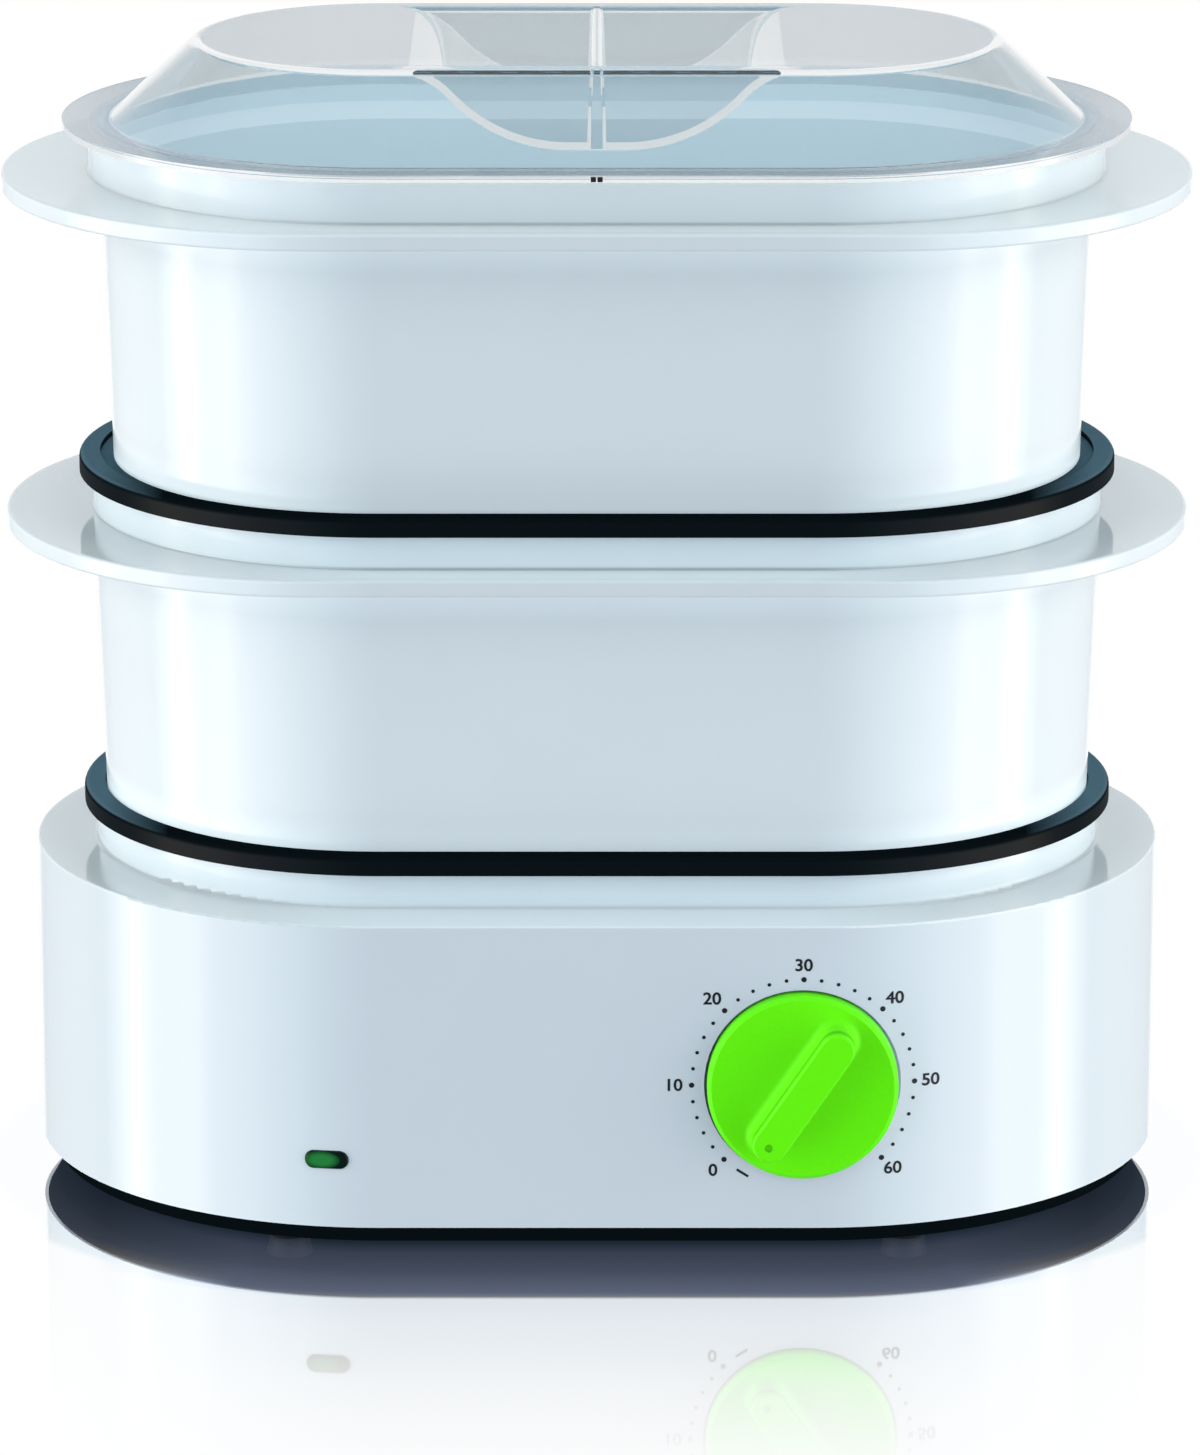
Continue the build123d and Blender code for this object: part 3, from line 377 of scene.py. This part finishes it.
def black_moulding(name, colour, shine=0.5):
    finish = Finish(name, IOR=1.50, Specular_IOR_Level=0.0, Coat_Roughness=0.32, Coat_IOR=1.5)
    x = finish.axes()[0]
    turn_z = finish.axes("Normal")[2]
    grain = finish.noise(2600.0, 1.0, 0.6)
    handled = finish.noise(60.0, 3.0)
    end_top_sheen = ((x.absolute() - end_sheen_start) / end_sheen_fade).clamped() * finish.upward()
    moulded = finish.mixed(grain, colour, scaled(colour, 1.7))
    # painted sheen: the tops of the trays' ends are paler and bluer
    finish.set("Base Color", finish.mixed(end_top_sheen, moulded, (0.075, 0.14, 0.18)))
    finish.set("Coat Weight", 0.15 * (1.0 - turn_z.absolute() * 2.0).clamped())
    finish.set("Roughness", shine + (handled - 0.5) * 0.1)
    finish.bump(grain, 0.00008, 0.35)
    return finish.material


black_plastic = black_moulding("black_plastic", (0.0022, 0.0042, 0.0055))
foot_rubber = black_moulding("foot_rubber", (0.012, 0.012, 0.012), 0.75)
print("black plastic", black_plastic.name, foot_rubber.name)

# %% [markdown]
# ## The green knob
#
# The timer knob is the one bright thing on the steamer: satin lime green, polished a little by fingers.
# A fine noise gives it the faint mottling of coloured plastic. Little light gets down beside the raised
# grip, 3 mm behind its top, so the green is painted deeper there as shade. The wall round the knob
# stays neutral, and so the light that the knob sends on to other things is a pale grey.

# %% Knob green
knob_low, knob_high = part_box("timer_knob")
groove_shade_depth, groove_shade_reach = 0.0030, 0.0019
knob_finish = Finish("knob_green", IOR=1.48, Specular_IOR_Level=0.12)
knob_grain = knob_finish.noise(900.0, 2.0)
knob_depth = knob_finish.axes()[1] - knob_low.y
lime = knob_finish.mixed(knob_grain, (0.145, 0.97, 0.006), (0.137, 0.92, 0.005))
# painted shade beside the raised grip
groove_shade = knob_depth.near(groove_shade_depth, groove_shade_reach) * 0.75
groove_shaded = knob_finish.mixed(groove_shade, lime, (0.05, 0.42, 0.004))
lights_wall = knob_finish.node("ShaderNodeLightPath", output="Is Diffuse Ray")
knob_finish.set("Base Color", knob_finish.mixed(lights_wall, groove_shaded, (0.62, 0.66, 0.68)))
knob_finish.set("Roughness", 0.34 + (knob_grain - 0.5) * 0.08)
knob_finish.bump(knob_grain, 0.00003, 0.4)
knob_green = knob_finish.material
print("knob from", round(knob_low.y, 4), "to", round(knob_high.y, 4))

# %% [markdown]
# ## The pilot light's lens
#
# The lens is dark green and clear: the unlit lamp's holder behind it shows as a lighter patch left
# of the middle. Instead of a real see-through solid, which would only show its own inside, the
# patch is painted by how far a point lies from the patch's middle.

# %% Lens green
lens_low, lens_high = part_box("pilot_lens")
patch_x = (lens_low.x + lens_high.x) / 2.0 - 0.0020
patch_z = (lens_low.z + lens_high.z) / 2.0
patch_half_width, patch_half_height = 0.0055, 0.0027
lens_finish = Finish("lens_green", Roughness=0.08, IOR=1.52, Specular_IOR_Level=0.12)
lens_x, _, lens_z = lens_finish.axes()
patch_across = (lens_x - patch_x) / patch_half_width
patch_up = (lens_z - patch_z) / patch_half_height
patch = (1.25 * (1.0 - (patch_across * patch_across + patch_up * patch_up))).clamped()
lens_finish.set("Base Color", lens_finish.mixed(patch, (0.0010, 0.0080, 0.0040), (0.018, 0.21, 0.038)))
lens_green = lens_finish.material
print("lens patch at", round(patch_x, 4), round(patch_z, 4))

# %% [markdown]
# ## The clear lid
#
# The lid is clear polystyrene, about 2 mm thick. It is a real solid, so light bends at both of
# its faces and draws the fine light and dark lines along its edges. A shadow from a clear solid
# would be black, so rays that only look for a lamp go straight through. So do rays that have met
# four surfaces already, because the few that get caught inside the plastic would end in black.
#
# The flange rests on the basket and sees little light from below, so its colour is painted blue-grey as
# shade, deepest along the straight front.

# %% Clear plastic
most_surfaces = 3.5
clear_tint = (0.745, 0.785, 0.80)
flange_end_shade, flange_front_shade = (0.38, 0.45, 0.51), (0.10, 0.20, 0.27)
lid_rise = 0.0226
lid_flange_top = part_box("lid")[1].z - lid_rise
lid_foot_radius = collar_radius - 0.0062
lid_front_fades = 0.060

lid_finish = Finish("clear_plastic", Roughness=0.02, IOR=1.50, Transmission_Weight=1.0)
lid_x, lid_y, lid_z = lid_finish.axes()
lid_along, lid_from_middle = on_oval(lid_x, lid_y)
below_slope = 1.0 - lid_z.past(lid_flange_top + hair)
on_flange = lid_from_middle.past(lid_foot_radius) * below_slope * lid_finish.upward()
lid_front = (1.0 - lid_along.absolute() / lid_front_fades).clamped() * (1.0 - lid_y.past(0.0))
# painted shade on the flange, deepest along the front
flange_shade = lid_finish.mixed(lid_front, flange_end_shade, flange_front_shade)
lid_finish.set("Base Color", lid_finish.mixed(on_flange, clear_tint, flange_shade))
lid_finish.bump(lid_finish.noise(14.0, 2.0), 0.0004, 0.2)

is_shadow = lid_finish.node("ShaderNodeLightPath", output="Is Shadow Ray")
surfaces_met = Value(lid_finish, is_shadow.socket.node.outputs["Ray Depth"])
is_spent = ((surfaces_met - most_surfaces) * 10.0).clamped()
see_through = lid_finish.node("ShaderNodeBsdfTransparent", inputs={"Color": white})
bends_light = Value(lid_finish, lid_finish.shader.outputs[0])
either = lid_finish.node(
    "ShaderNodeMixShader", inputs={0: is_shadow.larger(is_spent), 1: bends_light, 2: see_through}
)
lid_finish.tree.links.new(either.socket, lid_finish.output.inputs["Surface"])
clear_plastic = lid_finish.material
print("lid's flange up to", round(lid_flange_top, 4))

# %% [markdown]
# ## Metals and the parts inside
#
# Most of these are only seen when the trays are lifted off or from below: the stainless element,
# zinc-plated screws, a silicone seal, and the plain switches and timer case. Each still gets the
# detail its real counterpart has, such as fine brushing on steel and a mottled crystal bloom on
# zinc. The screw heads under the base, close to the worktop, are dark with oxide.


# %% Inside finishes
def brushed_metal(name, colour, shine, oxide_below=0.0):
    finish = Finish(name, Specular_IOR_Level=0.0)
    brush = finish.noise(700.0, 4.0)
    cloud = finish.noise(80.0, 2.0)
    oxide_share = ((oxide_below - finish.axes()[2]) * 2000.0).clamped()
    bare = finish.mixed(cloud, colour, scaled(colour, 0.8))
    finish.set("Base Color", finish.mixed(oxide_share, bare, (0.002, 0.004, 0.005)))
    finish.set("Metallic", 1.0 - oxide_share)
    finish.set("Roughness", shine + (brush - 0.5) * 0.2)
    finish.bump(brush, 0.00002, 0.5)
    return finish.material


def plain_inside(name, colour, shine=0.5):
    finish = Finish(name, IOR=1.46)
    mottle = finish.noise(180.0, 3.0)
    finish.set("Base Color", finish.mixed(mottle, colour, scaled(colour, 0.85)))
    finish.set("Roughness", shine + (mottle - 0.5) * 0.1)
    finish.bump(mottle, 0.00004, 0.4)
    return finish.material


steel = brushed_metal("steel", (0.60, 0.60, 0.58), 0.3)
zinc_steel = brushed_metal("zinc_steel", (0.52, 0.54, 0.57), 0.4, oxide_below=0.0085)
seal_rubber = plain_inside("seal_rubber", (0.42, 0.42, 0.41), 0.6)
inner_plastic = plain_inside("inner_plastic", (0.66, 0.62, 0.52))
lamp_glass = plain_inside("lamp_glass", (0.75, 0.35, 0.16), 0.15)
print("inside finishes", steel.name, zinc_steel.name, seal_rubber.name, inner_plastic.name)

# %% [markdown]
# ## Hand out the finishes
#
# Every solid names the material slot it belongs to, so one table dresses all of them. A solid
# keeps its mesh: only what is in its material slot changes.

# %% Dress the solids
finishes = {
    "white_plastic": white_plastic,
    "tank_plastic": tank_plastic,
    "black_plastic": black_plastic,
    "foot_rubber": foot_rubber,
    "knob_green": knob_green,
    "lens_green": lens_green,
    "clear_plastic": clear_plastic,
    "steel": steel,
    "zinc_steel": zinc_steel,
    "seal_rubber": seal_rubber,
    "inner_plastic": inner_plastic,
    "lamp_glass": lamp_glass,
}
slot_of = {part["node"]: part["material_slot"] for part in frame["record"]["subparts"]}
for node_name, solid in frame["nodes"].items():
    for slot in solid.material_slots:
        slot.material = finishes[slot_of[node_name]]
print("dressed", len(slot_of), "solids in", len(finishes), "finishes")

# %% [markdown]
# ## The scale round the knob
#
# The minutes are pad-printed on the wall: a large dot every ten minutes, four small ones between,
# and a numeral at each large one. The wall is flat in the middle and turns into the round end just
# right of the knob's centre, so flat ink would float off it. Each mark is therefore made flat and
# then wrapped back onto the wall, a hair in front of it.

# %% The wall that the scale is printed on
dial_x = (knob_low.x + knob_high.x) / 2.0
dial_z = (knob_low.z + knob_high.z) / 2.0
print_slip = (0.0002, -0.0002)
ink_lift = 0.00006
ink_depth = 0.00016
raw_depth = 0.001
upright = Matrix.Rotation(math.radians(90.0), 4, "X")


def wall_y(x):
    if x <= round_end_x:
        return -base_radius
    return -math.sqrt(base_radius**2 - (x - round_end_x) ** 2)


print("wall at the knob's right edge", round(wall_y(knob_high.x), 5))

# %% [markdown]
# A mark starts as a thin flat solid in the XZ plane and is moved onto the wall vertex by vertex: its
# front points go a hair before the wall and its back ones a little into it. The numerals' outlines
# have enough points to bend with the wall, a dot a millimetre across hardly bends at all, and the
# long off mark is cut across first.


# %% Put a flat mark onto the wall
def onto_wall(shape, centre_x, centre_z):
    for vertex in shape.verts:
        x = centre_x + vertex.co.x
        depth = ink_lift if vertex.co.y < 0 else -ink_depth
        vertex.co = Vector((x, wall_y(x) - depth, centre_z + vertex.co.z))
    bmesh.ops.recalc_face_normals(shape, faces=shape.faces)


def add_piece(name, shape, material, body):
    mesh = bpy.data.meshes.new(name)
    shape.to_mesh(mesh)
    shape.free()
    mesh.materials.append(material)
    piece = bpy.data.objects.new(name, mesh)
    bpy.context.collection.objects.link(piece)
    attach(piece, body)
    return piece


# %% [markdown]
# The ink is nearly black and matt, so it catches no highlight on the glossy wall. Printed ink has
# tiny breaks, which a fine noise gives its colour.

# %% Ink
ink_finish = Finish("dial_ink", IOR=1.45)
ink_speck = ink_finish.noise(3000.0, 2.0)
ink_finish.set(
    "Base Color", ink_finish.mixed(ink_speck, (0.002, 0.0025, 0.003), (0.006, 0.007, 0.008))
)
ink_finish.set("Roughness", 0.45 + ink_speck * 0.1)
dial_ink = ink_finish.material
print("ink", dial_ink.name)

# %% Dots of the scale
dot_count = 31
first_turn, dot_spacing = -135.0, 9.0
large_dot, small_dot = 0.00077, 0.00053
scale_half_width, scale_half_height = 0.0315, 0.0311
dots = bmesh.new()
for step in range(dot_count):
    around = math.radians(first_turn + dot_spacing * step)
    major = step % 5 == 0
    radius = large_dot if major else small_dot
    single = bmesh.new()
    bmesh.ops.create_cone(
        single,
        cap_ends=True,
        segments=20 if major else 16,
        radius1=radius,
        radius2=radius,
        depth=2 * raw_depth,
        matrix=upright,
    )
    dot_x = dial_x + print_slip[0] + scale_half_width * math.sin(around)
    dot_z = dial_z + print_slip[1] + scale_half_height * math.cos(around)
    onto_wall(single, dot_x, dot_z)
    piece_mesh = bpy.data.meshes.new("one_dot")
    single.to_mesh(piece_mesh)
    single.free()
    dots.from_mesh(piece_mesh)
    bpy.data.meshes.remove(piece_mesh)
print("dots", dot_count, "faces", len(dots.faces))
scale_dots = add_piece("scale_dots", dots, dial_ink, "base")

# %% [markdown]
# The plain built-in letters are thinner than printed numerals, so each outline is pushed outwards
# a tenth of a millimetre. A point where two edges of the outline meet moves along the middle of
# their two directions, and further where the corner is sharper, so that both edges move alike. The
# sharpest corners are held back, or they would turn into spikes.


# %% Bolder numerals
least_mean = 0.6


def embolden(glyph, grow):
    moves = {}
    for vertex in glyph.verts:
        rims = [edge for edge in vertex.link_edges if edge.is_boundary]
        if len(rims) != 2:
            continue
        mean = Vector()
        for edge in rims:
            face = edge.link_faces[0]
            first, second = (end.co for end in edge.verts)
            outward = (second - first).cross(face.normal).normalized()
            if ((first + second) / 2 - face.calc_center_median()).dot(outward) < 0:
                outward.negate()
            mean += outward / 2
        moves[vertex] = mean.normalized() * grow / max(mean.length, least_mean)
    for vertex, move in moves.items():
        vertex.co += move


# %% Numerals of the scale
numeral_height = 0.0036
numeral_growth = 0.0001
numeral_widening = 1.05
digit_share = 0.73
numerals = {
    "0": (-0.0252, -0.0252),
    "10": (-0.0364, 0.0),
    "20": (-0.0256, 0.0255),
    "30": (0.0001, 0.0353),
    "40": (0.0259, 0.0251),
    "50": (0.0363, 0.0001),
    "60": (0.0257, -0.0252),
}
words = bmesh.new()
for text, (across, up) in numerals.items():
    curve = bpy.data.curves.new("numeral", "FONT")
    curve.body = text
    curve.align_x = "CENTER"
    curve.size = numeral_height / digit_share
    writer = bpy.data.objects.new("numeral", curve)
    bpy.context.collection.objects.link(writer)
    bpy.context.view_layer.update()
    flat = bpy.data.meshes.new_from_object(writer)
    bpy.data.objects.remove(writer)
    glyphs = bmesh.new()
    glyphs.from_mesh(flat)
    bmesh.ops.remove_doubles(glyphs, verts=glyphs.verts, dist=1e-6)
    embolden(glyphs, numeral_growth)
    bmesh.ops.scale(glyphs, verts=glyphs.verts, vec=(numeral_widening, 1.0, 1.0))
    grown = bmesh.ops.extrude_face_region(glyphs, geom=glyphs.faces[:], use_keep_orig=True)
    raised = [item for item in grown["geom"] if isinstance(item, bmesh.types.BMVert)]
    bmesh.ops.translate(glyphs, verts=raised, vec=(0, 0, raw_depth))
    bmesh.ops.rotate(glyphs, verts=glyphs.verts, cent=(0, 0, 0), matrix=upright.to_3x3())
    bmesh.ops.translate(glyphs, verts=glyphs.verts, vec=(0, 0, -numeral_height / 2))
    onto_wall(glyphs, dial_x + across, dial_z + up)
    glyphs.to_mesh(flat)
    glyphs.free()
    words.from_mesh(flat)
    bpy.data.meshes.remove(flat)
print("numerals", len(numerals), "faces", len(words.faces))
scale_numerals = add_piece("scale_numerals", words, dial_ink, "base")

# %% [markdown]
# Off is a short bar across the scale, just short of the nought, where the pointer rests.

# %% The off mark
off_angle = math.radians(-147.3)
off_size = (0.0039, 2 * raw_depth, 0.00070)
off_slip = (0.0001, 0.0002)
off_reach = 0.0314
off_bar = bmesh.new()
bmesh.ops.create_cube(
    off_bar,
    size=1.0,
    matrix=Matrix.Rotation(off_angle, 4, "Y") @ Matrix.Diagonal((*off_size, 1.0)),
)
long_edges = [edge for edge in off_bar.edges if edge.calc_length() > 0.75 * off_size[0]]
bmesh.ops.subdivide_edges(off_bar, edges=long_edges, cuts=4)
off_x = dial_x + off_slip[0] + off_reach * math.sin(off_angle)
off_z = dial_z + off_slip[1] + off_reach * math.cos(off_angle)
onto_wall(off_bar, off_x, off_z)
print("off mark at", round(off_x, 4), round(off_z, 4), "faces", len(off_bar.faces))
off_mark = add_piece("off_mark", off_bar, dial_ink, "base")

# %% [markdown]
# Two small dark marks sit side by side on the face of a nub in the middle of the lid's front edge.

# %% Dark marks on the lid's nub
lid_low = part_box("lid")[0]
lid_flange = 0.0021
mark_size = (0.00145, 0.0004, 0.00140)
mark_x = 0.00092
mark_y = lid_low.y + 0.00014
mark_z = lid_flange_top - lid_flange / 2
dark_nub_marks = bmesh.new()
for side in (-1, 1):
    bmesh.ops.create_cube(
        dark_nub_marks,
        size=1.0,
        matrix=Matrix.Translation((side * mark_x, mark_y, mark_z)) @ Matrix.Diagonal((*mark_size, 1.0)),
    )
lid_marks = add_piece("dark_nub_marks", dark_nub_marks, dial_ink, "lid")
print("gate marks on the nub at", round(lid_low.y, 5))

# %% [markdown]
# ## Floor
#
# The steamer stands on a white, slightly polished sheet. Close to it the sheet mirrors the base, and
# further out the reflection fades into plain white. A real sheet does this because its gloss is soft
# and the lamps wash it out with distance. Here the sheet glows white and a mirror is mixed in by how
# near a point is to the base's outline. Beside the round ends the mirror fades sooner than in front of
# the straight side. Right under the base and just in front of it the glow is painted bluish as shade,
# and most of it gives way to the mirror, so the dark there is partly the real reflection of the
# underside and partly painted shade.

# %% Floor
floor_shape = bmesh.new()
bmesh.ops.create_grid(floor_shape, x_segments=1, y_segments=1, size=6.0)
floor_mesh = bpy.data.meshes.new("floor")
floor_shape.to_mesh(floor_mesh)
floor_shape.free()
floor = bpy.data.objects.new("floor", floor_mesh)
bpy.context.collection.objects.link(floor)

floor_finish = Finish("floor_sheet")
floor_along, floor_from_middle = on_oval(*floor_finish.axes()[:2])
zone_start, zone_end = -0.040, 0.200
zone = ((floor_from_middle - base_radius - zone_start) / (zone_end - zone_start)).clamped()


def by_distance(stops):
    """A ramp over the distance from the base, its stops given in millimetres and grey or colour."""
    span = 1000.0 * (zone_end - zone_start)
    return floor_finish.ramp(
        zone,
        [
            ((at - 1000.0 * zone_start) / span, tint if isinstance(tint, tuple) else (tint,) * 3)
            for at, tint in stops
        ],
    )


mirror_front = by_distance(
    [
        (-40, 1.0),
        (-18, 0.97),
        (-9, 0.925),
        (7, 0.895),
        (16, 0.86),
        (25, 0.825),
        (28, 0.80),
        (31, 0.58),
        (50, 0.46),
        (66, 0.40),
        (82, 0.33),
        (99, 0.23),
        (132, 0.14),
        (157, 0.07),
        (200, 0.0),
    ]
)
mirror_ends = by_distance(
    [
        (-40, 1.0),
        (-11, 0.975),
        (4, 0.955),
        (18, 0.93),
        (22, 0.80),
        (26, 0.17),
        (66, 0.10),
        (130, 0.03),
        (200, 0.0),
    ]
)
ends_start, ends_fade = 0.040, 0.040
at_ends = ((floor_along.absolute() - ends_start) / ends_fade).clamped()
mirror_share = mirror_front + (mirror_ends - mirror_front) * at_ends
# painted shade: the glow is bluish under and just in front of the base
deep_shade_blue, mid_shade_blue, pale_shade_blue = (0.38, 0.62, 1.0), (0.51, 0.64, 1.0), (0.58, 0.70, 1.0)
shade_tint_front = by_distance([(-18, deep_shade_blue), (-9, mid_shade_blue), (25, pale_shade_blue), (31, white)])
shade_tint_ends = by_distance([(-18, deep_shade_blue), (12, pale_shade_blue), (18, white)])
glow_shade_tint = floor_finish.mixed(at_ends, shade_tint_front, shade_tint_ends)
glow = floor_finish.node("ShaderNodeEmission", inputs={"Color": glow_shade_tint, "Strength": 1.0})
mirror = floor_finish.node("ShaderNodeBsdfGlossy", inputs={"Color": white, "Roughness": 0.03})
floor_mix = floor_finish.node("ShaderNodeMixShader", inputs={0: mirror_share, 1: glow, 2: mirror})
floor_finish.tree.links.new(floor_mix.socket, floor_finish.output.inputs["Surface"])
floor_mesh.materials.append(floor_finish.material)
print("floor mirrors from", zone_start, "to", zone_end, "m off the base's outline")

# %% [markdown]
# ## Light
#
# The white walls are greyest in the middle and brightest a little in from each end. Tall soft
# boxes at the sides do that: the round ends reflect them, and the flat front doesn't. Lamps could
# be placed one by one, but gloss would show their edges, so the whole studio is painted round the
# steamer instead, as a colour for each bearing from the front, and fades into a ceiling overhead.
# It is black towards the camera, brightest exactly at the sides and grey behind. Behind each end
# stands a white screen, which only surfaces seen at a glancing angle reflect.

# %% Surroundings
studio = bpy.data.worlds.new("studio")
bpy.context.scene.world = studio
studio.use_nodes = True
room = NodeMaker(studio.node_tree)
look_x, look_y, look_z = room.axes("Generated")
level = (look_x * look_x + look_y * look_y).root().larger(0.001)
compass = 0.5 - 0.5 * (look_y / level)


def bearing(degrees):
    return 0.5 + 0.5 * math.cos(math.radians(degrees))


brightest = 5.0
boxes = [
    (180, (0.7, 0.72, 0.75)),
    (150, (0.5, 0.55, 0.6)),
    (118, (0.2, 0.25, 0.3)),
    (106, (0.1, 0.1, 0.2)),
    (98, (1.7, 1.8, 1.7)),
    (90, (5.0, 4.5, 3.7)),
    (82, (2.8, 2.6, 2.2)),
    (74, (2.8, 2.8, 3.1)),
    (66, (3.9, 3.6, 3.5)),
    (56, (2.1, 1.9, 2.1)),
    (46, (1.8, 1.8, 2.1)),
    (36, (1.0, 1.2, 1.3)),
    (26, (0.8, 1.1, 1.1)),
    (17, (0.2, 0.35, 0.4)),
    (8, (0.0, 0.0, 0.1)),
    (0, (0.0, 0.0, 0.0)),
]
walls = room.ramp(compass, [(bearing(turn), scaled(tint, 1.0 / brightest)) for turn, tint in boxes])
sideways = (look_x / level).absolute()
screen_starts, screen_fades_in = 0.0576, 0.009
screen_ends, screen_fades_out = 0.242, 0.1
past_start = ((sideways - screen_starts) / screen_fades_in).clamped()
short_of_end = (1.0 - (sideways - screen_ends) / screen_fades_out).clamped()
behind = ((look_y / level) * 10.0).clamped()
walls = room.mixed(past_start * short_of_end * behind, walls, scaled(white, 1.0 / brightest))
ceiling = (0.85, 0.95, 1.0)
ceiling_share = ((look_z - 0.55) / 0.3).clamped()
off_level = ((look_z.absolute() - 0.45) / 0.25).clamped() * 0.85
dimmed = room.mixed(off_level, walls, black)
painted = room.mixed(ceiling_share, dimmed, scaled(ceiling, 1.0 / brightest))
print("studio painted in", len(boxes), "bearings")

# %% [markdown]
# The camera itself sees plain white behind the steamer, and so does a ray that has been through
# the lid. All other rays, which light the steamer and its reflections, meet the painted studio.

# %% Backdrop
light_path = room.node("ShaderNodeLightPath", output="Is Camera Ray")
times_through = Value(room, light_path.socket.node.outputs["Transmission Depth"])
sees_white = light_path.larger(times_through.clamped())
painted_glow = room.node("ShaderNodeBackground", inputs={"Color": painted, "Strength": brightest})
plain_glow = room.node("ShaderNodeBackground", inputs={"Color": white, "Strength": 1.0})
backdrop = room.node("ShaderNodeMixShader", inputs={0: sees_white, 1: painted_glow, 2: plain_glow})
room.tree.links.new(backdrop.socket, room.tree.nodes["World Output"].inputs["Surface"])
bpy.context.scene.view_settings.view_transform = "Standard"
bpy.context.scene.view_settings.look = "None"
for way in ("visible_diffuse", "visible_glossy", "visible_shadow"):
    setattr(floor, way, False)
print("floor seen only by the camera and through the lid")
